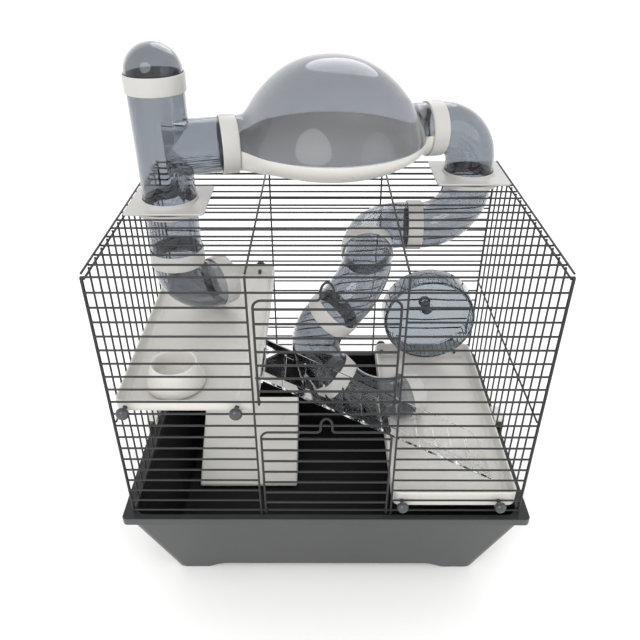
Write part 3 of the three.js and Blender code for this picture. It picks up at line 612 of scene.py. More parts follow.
def buildTray():
    top = rimTop / mm
    lip = top - tray["rimLip"]
    wall, stepX, stepY = tray["wall"], tray["stepX"], tray["stepY"]
    edge = tray["edge"]

    def wallInset(z, extra):
        lean = (lip - z) / lip
        return stepX + extra + tray["taperX"] * lean, stepY + extra + tray["taperY"] * lean

    corner, round_ = tray["corner"], tray["lipCorner"]
    rows = []
    for z, radius, extra in ((0.0, corner - 1.0, 1.4), (0.5, corner, 0.4), (1.6, corner, 0.0),
                             (lip - 0.2, corner, 0.0)):
        rows.append((*wallInset(z, extra), z, radius))
    rows += [(2.6, 3.2, lip + 0.5, round_ - 1.0), (2.2, 2.8, lip + 0.1, round_ - 1.0),
             (0.8, 0.8, lip, round_), (0.0, 0.0, lip + 0.9, round_)]
    for k in range(5):
        angle = k / 4 * math.pi / 2
        inset = edge * (1 - math.cos(angle))
        rows.append((inset, inset, top - edge + edge * math.sin(angle), round_))
    # a level ledge carries the wire cage, and the side walls stand back under it
    mouthX, mouthY, mouth = tray["ledge"], stepY + wall, tray["mouthCorner"]
    rows += [(mouthX - 1.5, mouthY - 1.5, top, mouth), (mouthX - 0.5, mouthY - 0.5, top - 0.4, mouth),
             (mouthX, mouthY, top - 1.4, mouth), (mouthX, mouthY, lip + 1.0, mouth)]
    inX, inY = wallInset(lip - 0.6, wall)
    rows += [(inX + 0.6, mouthY + 0.1, lip + 0.1, mouth), (inX, inY, lip - 0.6, mouth)]
    base = tray["footHeight"] + wall
    for z, radius, extra in ((base + 6.0, mouth, wall), (base + 2.6, mouth - 0.5, wall + 0.9),
                             (base + 0.8, mouth - 1.0, wall + 2.7), (base, mouth - 2.0, wall + 6.0)):
        rows.append((*wallInset(z, extra), z, radius))
    obj = ringsToObject("deep_tray", [trayRing(*row) for row in rows])
    reachX = trayHigh.x / mm - stepX - tray["taperX"]
    reachY = (trayHigh.y - midY) / mm - stepY - tray["taperY"]
    applyCut(obj, footCutter("frontArch", reachX, "y"))
    applyCut(obj, footCutter("sideArch", reachY, "x"))
    finishPiece(obj, "tray", "trayOutside", ["base_tray"])
    evenShading(obj)
    obj.data.materials.append(materials["trayInsidePaintedShade"])
    obj.data.materials.append(materials["trayRimPaintedShade"])
    for face in obj.data.polygons:
        c = face.center
        inward = face.normal.x * c.x + face.normal.y * (c.y - midY) < 0
        # the level rim top takes its own darker copy of the tray plastic: painted shade
        if c.z > (top - 0.6) * mm and face.normal.z > 0.8:
            face.material_index = 2
        # inward walls and the floor take the darker copy of the tray plastic: painted shade
        elif c.z > (base - 0.5) * mm and (inward and abs(face.normal.z) < 0.8 or face.normal.z > 0.8):
            face.material_index = 1


buildTray()


def buildClips():
    for side in ("left", "right"):
        node = "side_clip_" + side
        clip = softCopy(node, 0.55, 3)
        clip.name = "tray_clip_" + side
        finishPiece(clip, "clip_" + side, "whitePlastic", [node])


buildClips()
print("tray and clips built")

# ---- wire panels ----
wires = {"thickness": 2.2, "weld": 0.4, "stiffenerShare": 0.44, "rows": 20, "columns": 16, "topCount": 16,
         "bayX": 73.0, "doorHalf": 67.5, "doorRows": 7, "upperDoorRow": 10, "foot": 0.4}
wireR = wires["thickness"] / 2
upperRowZ = joints["upper_door_hinge"]["pos_m"][2] / mm
firstRowZ = joints["lower_door_hinge"]["pos_m"][2] / mm
rowPitch = (upperRowZ - firstRowZ) / wires["upperDoorRow"]
halfX = boxes["front_panel"][1].x / mm
frontY = (boxes["front_panel"][1].y - midY) / mm - wireR
sideX = halfX - wireR
sideEnd = (boxes["left_panel"][1].y - midY) / mm - wireR
topZ = boxes["top_panel"][1].z / mm - wires["thickness"] + wires["weld"] - wireR
wireFoot = rimTop / mm + wires["foot"]


def rowHeight(i):
    return firstRowZ + rowPitch * i


def levelRun(x0, x1, y, z):
    # a straight wire with a short stretch of its own at each end
    return [at(x0, y, z), at(x0 + 0.4, y, z), at(x1 - 0.4, y, z), at(x1, y, z)]


def buildUprightPanels():
    doorRows = [first + i for first in (0, wires["upperDoorRow"]) for i in range(1, wires["doorRows"] + 1)]
    end, bayX = sideX, wires["bayX"]
    for name, y, outward in (("front_panel", frontY, -1), ("back_panel", -frontY, 1)):
        runs = []
        for i in range(wires["rows"]):
            if name == "front_panel" and i in doorRows:
                runs.append(levelRun(-end, -bayX, y, rowHeight(i)))
                runs.append(levelRun(bayX, end, y, rowHeight(i)))
            else:
                runs.append(levelRun(-end, end, y, rowHeight(i)))
        bond = y + outward * (wires["thickness"] - wires["weld"])
        low, high = wireFoot, rowHeight(wires["rows"] - 1)
        for x in (-end, end):
            runs.append([at(x, y, low), at(x, y, high)])
        for x in (-bayX, bayX):
            hook = [(0.0, 0.0), (0.3, 0.9), (1.1, 1.4)]
            upper = [at(x, bond - outward * dy, high + dz) for dy, dz in hook]
            runs.append([at(x, bond, low)] + upper)
        wireObject("wire_" + name, runs, wireR * mm, "cage", [name])


def buildSidePanels():
    for name, side in (("left_panel", -1), ("right_panel", 1)):
        x = side * sideX
        high = topZ - wires["thickness"] - 0.3
        runs = []
        for i in range(wires["columns"]):
            y = -sideEnd + 2 * sideEnd * i / (wires["columns"] - 1)
            runs.append([at(x, y, wireFoot), at(x, y, high)])
        bond = side * (sideX - wires["thickness"] + wires["weld"])
        cageHeight = rowHeight(wires["rows"] - 1) - rimTop / mm
        for z in (firstRowZ, rimTop / mm + cageHeight * wires["stiffenerShare"], high - wireR):
            runs.append([at(bond, -sideEnd, z), at(bond, sideEnd, z)])
        wireObject("wire_" + name, runs, wireR * mm, "cage", [name])


def buildTopPanel():
    ports = [portCentre("left"), portCentre("right")]
    frameReach = tubes["portFrame"] + 2 + wireR
    runs = []
    for i in range(1, wires["topCount"] - 1):
        y = -sideEnd + 2 * sideEnd * i / (wires["topCount"] - 1)
        cuts = sorted(px for px, py in ports if abs(y - py) < frameReach)
        start = -sideX
        for px in cuts:
            runs.append(levelRun(start, px - frameReach, y, topZ))
            start = px + frameReach
        runs.append(levelRun(start, sideX, y, topZ))
    for px, py in ports:
        for s in (-frameReach, frameReach):
            runs.append([at(px - frameReach, py + s, topZ), at(px + frameReach, py + s, topZ)])
            runs.append([at(px + s, py - frameReach, topZ), at(px + s, py + frameReach, topZ)])
    for x in (-sideX, -wires["bayX"], wires["bayX"], sideX):
        raised = topZ + wires["thickness"] - wires["weld"]
        runs.append([at(x, -sideEnd, raised), at(x, sideEnd, raised)])
    wireObject("wire_top_panel", runs, wireR * mm, "cage", ["top_panel"])


tubes = {
    "radius": 29.0, "wall": 1.6, "collarInner": 29.3, "collarOuter": 30.9, "portFrame": 31.82,
    "collarLength": 18.0, "gap": 0.3, "sides": 56, "bendSteps": 22, "branchLength": 68.4, "rightLeg": 52.0,
    "podPlace": 182.4, "teeRise": 128.0, "bridgeRise": 60.0, "endStep": 0.4,
}


def portCentre(side):
    low, high = boxes[side + "_port_plate"]
    return (low.x + high.x) / 2 / mm, ((low.y + high.y) / 2 - midY) / mm


buildUprightPanels()
buildSidePanels()
buildTopPanel()
print("wire panels built")

# ---- doors ----
door = {"corner": 8.0, "latchHeight": 18.5, "loopRadius": 2.55, "loopTurn": 285, "topRise": 9.3,
        "thicker": 1.12, "standOff": 0.6, "legRise": 7.0}


def latchOutline(top):
    # the bent latch in the middle of the frame's top wire, as (x, share of its height)
    half = [(0.0, 1.0), (2.4, 0.95), (4.6, 0.8), (5.9, 0.58),
            (6.2, 0.4), (6.0, 0.22), (7.0, 0.07), (9.2, 0.0)]
    right = [(x, top + door["latchHeight"] * share) for x, share in half]
    left = [(-x, z) for x, z in reversed(right[1:])]
    return smoothLine(left + right, 4)


def buildDoor(name, hingeRow):
    y = frontY - wires["thickness"] - door["standOff"]
    half = wires["doorHalf"]
    hingeZ = rowHeight(hingeRow)
    top = rowHeight(hingeRow + wires["doorRows"]) + door["topRise"]
    runs = []
    for i in range(1, wires["doorRows"] + 1):
        runs.append(levelRun(-half, half, y, rowHeight(hingeRow + i)))
    corner = door["corner"]
    rightTop = []
    for k in range(9):
        angle = k / 8 * math.pi / 2
        rightTop.append((half - corner + corner * math.sin(angle), top - corner + corner * math.cos(angle)))
    outline = [(-x, z) for x, z in reversed(rightTop)] + latchOutline(top) + rightTop
    curl = []
    loop = door["loopRadius"]
    for k in range(15):
        angle = math.pi + k / 14 * math.radians(door["loopTurn"])
        curl.append((frontY + loop * math.cos(angle), hingeZ + loop * math.sin(angle)))
    legZ = hingeZ + door["legRise"]
    left = [at(-half, cy, cz) for cy, cz in reversed(curl)] + [at(-half, y, legZ)]
    right = [at(half, y, legZ)] + [at(half, cy, cz) for cy, cz in curl]
    runs.append(left + [at(x, y, z) for x, z in outline] + right)
    wireObject("wire_" + name, runs, wireR * door["thicker"] * mm, name, [name])


buildDoor("upper_door", wires["upperDoorRow"])
buildDoor("lower_door", 0)
print("doors built")

# ---- shelves ----
shelf = {"wall": 2.6, "corner": 9.0, "lip": 1.3, "slope": 6.5, "floor": 2.5, "pegHole": 2.6, "pegReach": 14,
         "notchHalf": 40.0, "notchEase": 16.0, "notchBottom": 132.2, "notchRise": 18.0, "notchDepth": 9.5,
         "notchFlat": 0.04}


def shelfRings(low, high, wallDrop):
    x0, x1, y0, y1 = low.x / mm, high.x / mm, low.y / mm, high.y / mm
    bottom, top = low.z / mm, high.z / mm
    lip, wall, corner = shelf["lip"], shelf["wall"], shelf["corner"]
    floor = bottom + shelf["floor"]
    rows = [(1.6, bottom, corner - 1.6), (0.5, bottom + 0.4, corner - 0.5), (0.0, bottom + 1.5, corner),
            (0.0, bottom + 4.0, corner), (0.0, top - 3.0, corner)]
    for k in range(7):
        angle = math.pi * k / 6
        rows.append((lip - lip * math.cos(angle), top - lip + lip * math.sin(angle),
                     corner - lip + lip * math.cos(angle)))
    inner, foot = corner - wall, wall + wallDrop
    rows += [(wall + 0.1, top - 3.0, inner), (wall + wallDrop * 0.5, floor + 3.6, inner - 0.4),
             (foot + 0.6, floor + 1.5, inner - 0.8), (foot + 2.4, floor + 0.4, 4.5),
             (wall + shelf["slope"], floor, 4.0)]
    rings = []
    for inset, z, radius in rows:
        rings.append(roundedRing((x0 + inset) * mm, (x1 - inset) * mm, (y0 + inset) * mm, (y1 - inset) * mm,
                                 radius * mm, z * mm, 8, 28))
    return rings


def restNotch(rings, low):
    # the left rim dips where the last tube comes to rest
    for ring in rings:
        for p in ring:
            away = abs((p.y - midY) / mm)
            if p.x > low.x + shelf["notchDepth"] * mm or away >= shelf["notchHalf"]:
                continue
            t = max(0.0, (away - (shelf["notchHalf"] - shelf["notchEase"])) / shelf["notchEase"])
            ceiling = shelf["notchBottom"] + shelf["notchRise"] * t * t * (3 - 2 * t)
            if p.z / mm > ceiling:
                p.z = ceiling * mm + (p.z - ceiling * mm) * shelf["notchFlat"]


def pegNodes(level):
    return [(f"{level}_shelf_peg_{side}_{hand}", side) for side in ("front", "back")
            for hand in ("left", "right")]


def pegHoles(obj, level):
    hole, reach = shelf["pegHole"], shelf["pegReach"]
    profile = [(0, -reach), (hole, -reach), (hole, reach), (0, reach)]
    for node, side in pegNodes(level):
        low, high = boxes[node]
        innerY = high.y if side == "front" else low.y
        centre = ((low.x + high.x) / 2, innerY, (low.z + high.z) / 2)
        applyCut(obj, turnedObject("pegHole", profile, centre, (0, 1, 0), 24))


def buildShelves():
    for name in ("upper", "lower"):
        low, high = boxes[name + "_shelf"]
        rings = shelfRings(low, high, 3.2 if name == "upper" else 4.2)
        if name == "lower":
            restNotch(rings, low)
        obj = ringsToObject(name + "_shelf_tray", rings)
        pegHoles(obj, name)
        finishPiece(obj, "cage", "whitePlastic", [name + "_shelf"], 40.0)


peg = {"radius": 6.8, "shank": 2.1, "head": 7.8}


def buildPegs():
    radius, shank, head = peg["radius"], peg["shank"], peg["head"]
    knob = smoothLine([(0.0, head), (2.2, 7.7), (4.2, 7.0), (5.7, 5.6), (6.55, 3.9), (radius, 2.4),
                       (6.6, 1.1), (6.1, 0.35), (5.4, 0.0), (2.8, 0.0), (shank, -0.5)], 3)
    for node, side in pegNodes("upper") + pegNodes("lower"):
        low, high = boxes[node]
        sign = -1 if side == "front" else 1
        faceY = (low.y + head * mm) if side == "front" else (high.y - head * mm)
        depth = (high.y - low.y) / mm - head
        profile = knob + [(shank, -depth + 0.8), (1.4, -depth), (0.0, -depth)]
        centre = ((low.x + high.x) / 2, faceY, (low.z + high.z) / 2)
        obj = turnedObject("knob_" + node, profile, centre, (0, sign, 0), 40)
        finishPiece(obj, "cage", "knobPlastic", [node])


buildShelves()
buildPegs()
print("shelves and pegs built")

# ---- ramp ----
ramp = {"edge": 0.35}


def buildRamp():
    obj = softCopy("ramp", ramp["edge"], 2)
    obj.name = "clear_ramp"
    finishPiece(obj, "ramp", "rampPlastic", ["ramp"], 30.0)


buildRamp()

# ---- food bowl ----
bowl = {"base": 31.0, "top": 24.5, "height": 29.0}


def buildBowl():
    low, high = boxes["food_bowl"]
    centre = ((low.x + high.x) / 2, (low.y + high.y) / 2, low.z)
    base, top, height = bowl["base"], bowl["top"], bowl["height"]
    outer = [(base - 5.0, 0.0), (base - 1.6, 0.8), (base - 0.1, 3.2), (base - 0.4, 9.0), (base - 2.6, 15.0),
             (top + 2.2, 20.5), (top + 0.5, height - 3.0), (top - 0.1, height - 1.0), (top - 1.3, height)]
    inner = [(top - 1.3, height), (top - 2.5, height - 1.0), (top - 3.0, height - 4.0), (top - 3.4, 14.0),
             (top - 5.6, 8.4), (top - 10.0, 5.6), (8.0, 4.9), (0.0, 4.8)]
    foot = [(0.0, 0.9), (base - 7.0, 0.9), (base - 6.0, 0.0)]
    profile = foot + smoothLine(outer, 4)[:-1] + smoothLine(inner, 4)
    obj = turnedObject("food_bowl_cup", profile, centre, (0, 0, 1), 72)
    finishPiece(obj, "food_bowl", "whitePlastic", ["food_bowl"], 50.0)


buildBowl()

# ---- hide ----
hide = {"wall": 2.2, "round": 4.2, "roomRound": 2.4, "ridge": 12.0, "eave": 5.0, "doorRadius": 21.0,
        "doorHeight": 26.0, "doorShift": 24.0, "doorDepth": 12,
        "leafPlace": (-60.5, 52.0), "leafLength": 21.0, "leafWidth": 6.2, "leafDepth": 1.1,
        "leafBlunt": 0.35, "leafTurn": -8}


def hideMeasures():
    # front, back, bottom and top in millimetres, where the roof turns level, and how steep it is
    low, high = boxes["hide_house"]
    front, back = (low.y - midY) / mm, (high.y - midY) / mm
    bottom, top = low.z / mm, high.z / mm
    ridgeY = back - hide["ridge"]
    return front, back, bottom, top, ridgeY, (top - bottom - hide["eave"]) / (ridgeY - front)


def hideBlock(name, inset, rounding):
    front, back, bottom, top, ridgeY, slope = hideMeasures()
    low, high = boxes["hide_house"]
    x0, x1 = low.x / mm + inset, high.x / mm - inset
    ridgeIn = ridgeY + inset * 0.3
    roof = top - inset
    floor = bottom - (3.0 if inset else 0.0)
    outline = [(front + inset, floor), (back - inset, floor), (back - inset, roof), (ridgeIn, roof),
               (front + inset, roof - slope * (ridgeIn - front - inset))]
    obj = ringsToObject(name, [[at(x, y, z) for y, z in outline] for x in (x0, x1)])
    bevel = obj.modifiers.new("soft", "BEVEL")
    bevel.width = rounding * mm
    bevel.segments = 5
    bevel.limit_method = "ANGLE"
    bevel.angle_limit = math.radians(20)
    bakeModifiers(obj)
    return obj


def leafCutter():
    # a flat leaf lying in the roof's slope, narrowing to both ends
    top, ridgeY, slope = hideMeasures()[3:]
    leafX, leafY = hide["leafPlace"]
    leafZ = top - slope * (ridgeY - leafY)
    data = bpy.data.meshes.new("leafDimple")
    mesh = bmesh.new()
    bmesh.ops.create_uvsphere(mesh, u_segments=40, v_segments=20, radius=1.0)
    blunt = hide["leafBlunt"]
    for vert in mesh.verts:
        along = vert.co.y
        pinch = (1 - along * along) ** 0.5 if abs(along) < 1 else 0.0
        vert.co.x *= (blunt + (1 - blunt) * pinch) * hide["leafWidth"] * mm
        vert.co.y *= hide["leafLength"] * mm
        vert.co.z *= hide["leafDepth"] * mm
    mesh.to_mesh(data)
    mesh.free()
    tilt = Matrix.Rotation(math.atan(slope), 4, "X") @ Matrix.Rotation(math.radians(hide["leafTurn"]), 4, "Z")
    data.transform(Matrix.Translation(at(leafX, leafY, leafZ)) @ tilt)
    leaf = bpy.data.objects.new("leafDimple", data)
    bpy.context.collection.objects.link(leaf)
    return leaf


def hideDoorCutter():
    # the arched doorway in the right-hand wall
    front, back, bottom = hideMeasures()[:3]
    right, depth = boxes["hide_house"][1].x / mm, hide["doorDepth"]
    doorY = (front + back) / 2 + hide["doorShift"]
    radius, height = hide["doorRadius"], hide["doorHeight"]
    arch = [(doorY - radius, bottom - 5), (doorY - radius, bottom + height)]
    for k in range(1, 24):
        angle = math.pi * (1 - k / 24)
        arch.append((doorY + radius * math.cos(angle), bottom + height + radius * math.sin(angle)))
    arch += [(doorY + radius, bottom + height), (doorY + radius, bottom - 5)]
    ends = (right - depth, right + depth)
    return ringsToObject("hideDoorCut", [[at(x, y, z) for y, z in arch] for x in ends])


def buildHide():
    obj = hideBlock("hide_house_shell", 0.0, hide["round"])
    applyCut(obj, hideBlock("hideRoom", hide["wall"], hide["roomRound"]))
    applyCut(obj, leafCutter())
    applyCut(obj, hideDoorCutter())
    # the hide takes the lighter copy of the white plastic: painted light
    finishPiece(obj, "hide", "hidePaintedLightPlastic", ["hide_house"], 19.0)
    evenShading(obj)


buildHide()
print("ramp, bowl and hide built")

# ---- wheel ----
wheel = {"radius": 65.0, "taper": 2.0, "depth": 34.0, "skin": 1.8, "bore": 5.3, "treads": 60,
         "treadHeight": 1.0, "lip": 4.0}


def buildWheel():
    centre = Vector(joints["wheel_spin"]["pos_m"])
    back = boxes["wheel"][1].y
    middle = (centre.x, back, centre.z)
    big, w, depth = wheel["radius"], wheel["skin"], wheel["depth"]
    rim = big - wheel["taper"]
    lip, bore = rim - wheel["lip"], wheel["bore"]
    profile = [(bore, 0.0), (9.0, 0.0), (9.6, 0.5), (big - 3.0, 0.5), (big - 0.9, 1.1), (big, 2.8),
               (rim, depth - 0.8), (rim - 0.6, depth), (lip + 0.5, depth), (lip, depth - 0.6),
               (lip, depth - w), (rim - w - 0.3, depth - w - 0.3), (big - w - 0.2, 4.6),
               (big - w - 1.6, w + 1.1), (big - w - 4.0, w + 0.3), (12.0, w + 0.3), (10.6, w + 1.0),
               (bore, w + 1.2)]
    obj = turnedObject("running_wheel", profile, middle, (0, -1, 0), 120)
    # each tread is a low bar, given by four corners (width, drop) at its back end and its front end
    section = ((-0.7, -0.25), (0.7, -0.25), (0.35, wheel["treadHeight"]), (-0.35, wheel["treadHeight"]))
    points, faces = [], []
    for k in range(wheel["treads"]):
        angle = 2 * math.pi * k / wheel["treads"]
        base = len(points)
        for depthAt, radius in ((5.2, big - w - 0.1), (depth - 3.0, rim - w + 0.1)):
            for width, drop in section:
                r = radius - drop
                spin = angle + width / radius
                points.append(Vector((centre.x + r * mm * math.cos(spin), back - depthAt * mm,
                                      centre.z + r * mm * math.sin(spin))))
        for i in range(4):
            j = (i + 1) % 4
            faces.append((base + i, base + j, base + 4 + j, base + 4 + i))
        faces += [(base + 3, base + 2, base + 1, base), (base + 4, base + 5, base + 6, base + 7)]
    bars = meshObject("wheel_treads", points, faces)
    finishPiece(obj, "wheel", "wheelPlastic", ["wheel"], 32.0)
    finishPiece(bars, "wheel", "wheelPlastic", ["wheel"], 32.0)


axle = {"radius": 3.6, "head": 7.5, "headThick": 5.0, "spacer": 6.0, "spacerGap": 5.0,
        "nutHole": 4.2, "nut": 7.5}


def buildAxle():
    low, high = boxes["wheel_axle"]
    centre = ((low.x + high.x) / 2, low.y, (low.z + high.z) / 2)
    wheelBack = (boxes["wheel"][1].y - low.y) / mm
    length = (high.y - low.y) / mm
    spacerEnd = (boxes["wheel_nut"][0].y - low.y) / mm - axle["spacerGap"]
    shaft, head, spacer, face = axle["radius"], axle["head"], axle["spacer"], axle["headThick"]
    profile = [(0.0, 0.4), (2.0, 0.3), (4.6, 0.5), (6.2, 1.3), (head - 0.3, 2.6), (head, 4.2),
               (head - 0.4, face - 0.1), (shaft, face), (shaft, wheelBack + 0.3),
               (spacer - 0.3, wheelBack + 0.3), (spacer, wheelBack + 0.7), (spacer, spacerEnd - 0.4),
               (spacer - 0.3, spacerEnd), (shaft, spacerEnd), (shaft, length - 0.6), (shaft - 0.6, length),
               (0.0, length)]
    pin = turnedObject("wheel_hub_axle", profile, centre, (0, 1, 0), 48)
    finishPiece(pin, "cage", "knobPlastic", ["wheel_axle"])
    low, high = boxes["wheel_nut"]
    thick = (high.y - low.y) / mm
    centre = ((low.x + high.x) / 2, low.y, (low.z + high.z) / 2)
    hole, outer = axle["nutHole"], axle["nut"]
    profile = [(hole, 0.0), (outer - 0.5, 0.0), (outer, 0.6), (outer, thick - 1.4),
               (outer - 0.4, thick - 0.4), (outer - 1.3, thick), (hole + 0.6, thick), (hole, thick - 0.5)]
    nut = turnedObject("wheel_back_nut", profile, centre, (0, 1, 0), 20)
    finishPiece(nut, "cage", "knobPlastic", ["wheel_nut"], 20.0)


buildWheel()
buildAxle()
print("wheel built")

# ---- port plates ----
plate = {"thickness": 2.2, "edge": 0.5, "samples": 96}


def plateRing(cx, cy, z, reachAt):
    ring = []
    for i in range(plate["samples"]):
        angle = 2 * math.pi * i / plate["samples"]
        dx, dy = math.cos(angle), math.sin(angle)
        reach = reachAt(dx, dy)
        ring.append(at(cx + dx * reach, cy + dy * reach, z))
    return ring


def squareRing(cx, cy, spanX, spanY, z, inset):
    # points of a square taken at even angles, to pair with the round hole
    hx, hy = spanX - inset, spanY - inset
    return plateRing(cx, cy, z, lambda dx, dy: min(hx / max(abs(dx), 1e-6), hy / max(abs(dy), 1e-6)))


def circleRing(cx, cy, radius, z):
    return plateRing(cx, cy, z, lambda dx, dy: radius)


def buildPlates():
    for side in ("left", "right"):
        node = side + "_port_plate"
        low, high = boxes[node]
        cx, cy = portCentre(side)
        hx, hy = (high.x - low.x) / 2 / mm, (high.y - low.y) / 2 / mm
        z0, z1 = low.z / mm, low.z / mm + plate["thickness"]
        lipTop = high.z / mm
        r0, r1 = tubes["collarInner"], tubes["collarOuter"]
        e = plate["edge"]
        rings = [squareRing(cx, cy, hx, hy, z0, e), squareRing(cx, cy, hx, hy, z0 + e, 0.0),
                 squareRing(cx, cy, hx, hy, z1 - e, 0.0), squareRing(cx, cy, hx, hy, z1, e),
                 circleRing(cx, cy, r1 + 1.4, z1), circleRing(cx, cy, r1 + 0.3, z1 + 0.5),
                 circleRing(cx, cy, r1, z1 + 1.2), circleRing(cx, cy, r1 - 0.1, lipTop - 0.5),
                 circleRing(cx, cy, r1 - 0.5, lipTop), circleRing(cx, cy, r0 + 0.4, lipTop),
                 circleRing(cx, cy, r0, lipTop - 0.4), circleRing(cx, cy, r0, z0 - 1.4),
                 circleRing(cx, cy, r0 + 0.3, z0 - 1.7), circleRing(cx, cy, r1 - 0.2, z0 - 1.7),
                 circleRing(cx, cy, r1, z0 - 1.3), circleRing(cx, cy, r1, z0)]
        obj = ringsToObject(side + "_plate_with_port", rings, loop=True)
        finishPiece(obj, "cage", "bandPlastic", [node], 32.0)
        low, high = boxes[side + "_port_ring"]
        thick = (high.z - low.z) / mm
        wide = (high.x - low.x) / 2 / mm
        profile = [(r0, 0.5), (r0 + 0.5, 0.0), (wide - 0.6, 0.0), (wide, 0.6), (wide, thick - 0.6),
                   (wide - 0.6, thick), (r0 + 0.5, thick), (r0, thick - 0.5)]
        centre = ((low.x + high.x) / 2, (low.y + high.y) / 2, low.z)
        ring = turnedObject(side + "_lock_ring", profile, centre, (0, 0, 1), 72)
        finishPiece(ring, "cage", "bandPlastic", [side + "_port_ring"], 32.0)


buildPlates()
print("port plates built")

# ---- tubes ----
leftPort, rightPort = portCentre("left"), portCentre("right")
plateMiddle = boxes["left_port_plate"][0].z / mm + plate["thickness"] / 2
bridgeZ = topZ + tubes["bridgeRise"]
bridgeLength = math.hypot(rightPort[0] - leftPort[0], rightPort[1] - leftPort[1])


def onBridge(s):
    # a point on the level line between the two ports, s millimetres from the left one
    t = s / bridgeLength
    x, y = (a + (b - a) * t for a, b in zip(leftPort, rightPort))
    return x, y, bridgeZ


bridgeStart, bridgeEnd = onBridge(0.0), onBridge(bridgeLength)
bridgeDirection = (at(*bridgeEnd) - at(*bridgeStart)).normalized()


def circleAt(point, side, up, radius):
    angles = [2 * math.pi * i / tubes["sides"] for i in range(tubes["sides"])]
    return [point + (side * math.cos(a) + up * math.sin(a)) * radius * mm for a in angles]


def pipeFrom(name, stations, side):
    # outer skin forwards, inner skin back: one closed wall
    outer, inner = tubes["radius"], tubes["radius"] - tubes["wall"]
    rings = []
    last = len(stations) - 1
    for k, (point, ahead) in enumerate(stations):
        trimmed = outer - 0.35 if k in (0, last) else outer
        rings.append(circleAt(point, side, side.cross(ahead).normalized(), trimmed))
    for point, ahead in reversed(stations):
        rings.append(circleAt(point, side, side.cross(ahead).normalized(), inner))
    return ringsToObject(name, rings, loop=True)


def bentStations(start, corner, end):
    a, c, b = at(*start), at(*corner), at(*end)
    inDir, outDir = (c - a).normalized(), (b - c).normalized()
    turn = inDir.angle(outDir)
    normal = (outDir - inDir * outDir.dot(inDir)).normalized()
    side = inDir.cross(normal).normalized()
    reach = min((c - a).length, (b - c).length) - tubes["collarLength"] / 2 * mm
    radius = reach / math.tan(turn / 2)
    centre = c - inDir * reach + normal * radius
    clear, step = tubes["gap"] * mm, tubes["endStep"] * mm
    stations = [(a + inDir * clear, inDir), (a + inDir * (clear + step), inDir)]
    steps = tubes["bendSteps"]
    for i in range(steps + 1):
        angle = turn * i / steps
        outward = inDir * math.sin(angle) - normal * math.cos(angle)
        ahead = inDir * math.cos(angle) + normal * math.sin(angle)
        stations.append((centre + outward * radius, ahead))
    stations += [(b - outDir * (clear + step), outDir), (b - outDir * clear, outDir)]
    return stations, side


def bentPiece(node, start, corner, end):
    stations, side = bentStations(start, corner, end)
    obj = pipeFrom("clear_" + node, stations, side)
    finishPiece(obj, "cage", "smokePlastic", [node], 40.0)


def collarPiece(node, centre, direction):
    r0, r1, half = tubes["collarInner"], tubes["collarOuter"], tubes["collarLength"] / 2
    lower = [(r0, -half + 0.6), (r0 + 0.35, -half), (r1 - 0.5, -half), (r1 - 0.1, -half + 0.45),
             (r1, -half + 1.2)]
    profile = lower + [(r, -z) for r, z in reversed(lower)]
    obj = turnedObject("band_" + node, profile, centre, direction, 72)
    finishPiece(obj, "cage", "bandPlastic", [node], 40.0)


# the route's first two corners have one height, and so have its last corner and its end
route = {"high": 239.5, "turnX": 49.5, "turn": (-12.0, 226.0), "middle": (-31.0, -5.0, 131.0),
         "last": (50.0, -18.0), "low": 43.0, "endReach": 35.0, "endY": 7.0}


def buildRoute():
    base = rimTop / mm
    x, y = rightPort
    high, low = base + route["high"], base + route["low"]
    turnY, turnZ = route["turn"]
    middleX, middleY, middleZ = route["middle"]
    corners = [(x, y, high), (route["turnX"], y, high), (route["turnX"], turnY, base + turnZ),
               (middleX, middleY, base + middleZ), (*route["last"], low)]
    end = (boxes["lower_shelf"][0].x / mm + route["endReach"], route["endY"], low)
    previous = (x, y, plateMiddle)
    for i, corner in enumerate(corners):
        last = i == len(corners) - 1
        after = end if last else corners[i + 1]
        stop = end if last else tuple((a + b) / 2 for a, b in zip(corner, after))
        letter = "abcde"[i]
        bentPiece("route_elbow_" + letter, previous, corner, stop)
        collarPiece("route_collar_" + letter, at(*stop), at(*after) - at(*corner))
        previous = stop


drop = {"join": 242.0, "corner": 188.0, "reach": (41.0, 36.0)}


def buildDrop():
    base = rimTop / mm
    x, y = leftPort
    joinAt = base + drop["join"]
    gap = tubes["gap"]
    up = Vector((0, 0, 1))
    step = up * tubes["endStep"] * mm
    low, high = at(x, y, joinAt + gap), at(x, y, plateMiddle - gap)
    stations = [(low, up), (low + step, up), (high - step, up), (high, up)]
    obj = pipeFrom("clear_drop_tube", stations, Vector((1, 0, 0)))
    finishPiece(obj, "cage", "smokePlastic", ["drop_tube"], 40.0)
    collarPiece("drop_collar", at(x, y, joinAt), (0, 0, 1))
    corner = (x, y, base + drop["corner"])
    end = (x + drop["reach"][0], y + drop["reach"][1], base + drop["corner"])
    bentPiece("drop_elbow", (x, y, joinAt), corner, end)
    collarPiece("drop_end_collar", at(*end), at(*end) - at(*corner))


def solidRod(name, start, end, radius):
    direction = at(*end) - at(*start)
    length = direction.length / mm
    profile = [(0.0, 0.0), (radius, 0.0), (radius, length), (0.0, length)]
    return turnedObject(name, profile, at(*start), direction.normalized(), 72)


def buildTee():
    x, y = leftPort
    top = topZ + tubes["teeRise"]
    outer, inner = tubes["radius"], tubes["radius"] - tubes["wall"]
    gap = tubes["gap"]
    branchEnd = tubes["branchLength"] - gap
    obj = solidRod("clear_tee_tube", (x, y, plateMiddle + gap), (x, y, top - gap), outer)
    applyCut(obj, solidRod("branch", bridgeStart, onBridge(branchEnd), outer), "UNION")
    applyCut(obj, solidRod("boreUp", (x, y, plateMiddle - 5), (x, y, top + 5), inner))
    applyCut(obj, solidRod("boreAcross", onBridge(0.5), onBridge(branchEnd + 5), inner - 0.02))
    finishPiece(obj, "cage", "smokePlastic", ["tee_tube"], 32.0)
    evenShading(obj)
    collarPiece("cap_collar", at(x, y, top), (0, 0, 1))
    collarPiece("branch_collar", at(*onBridge(tubes["branchLength"])), bridgeDirection)


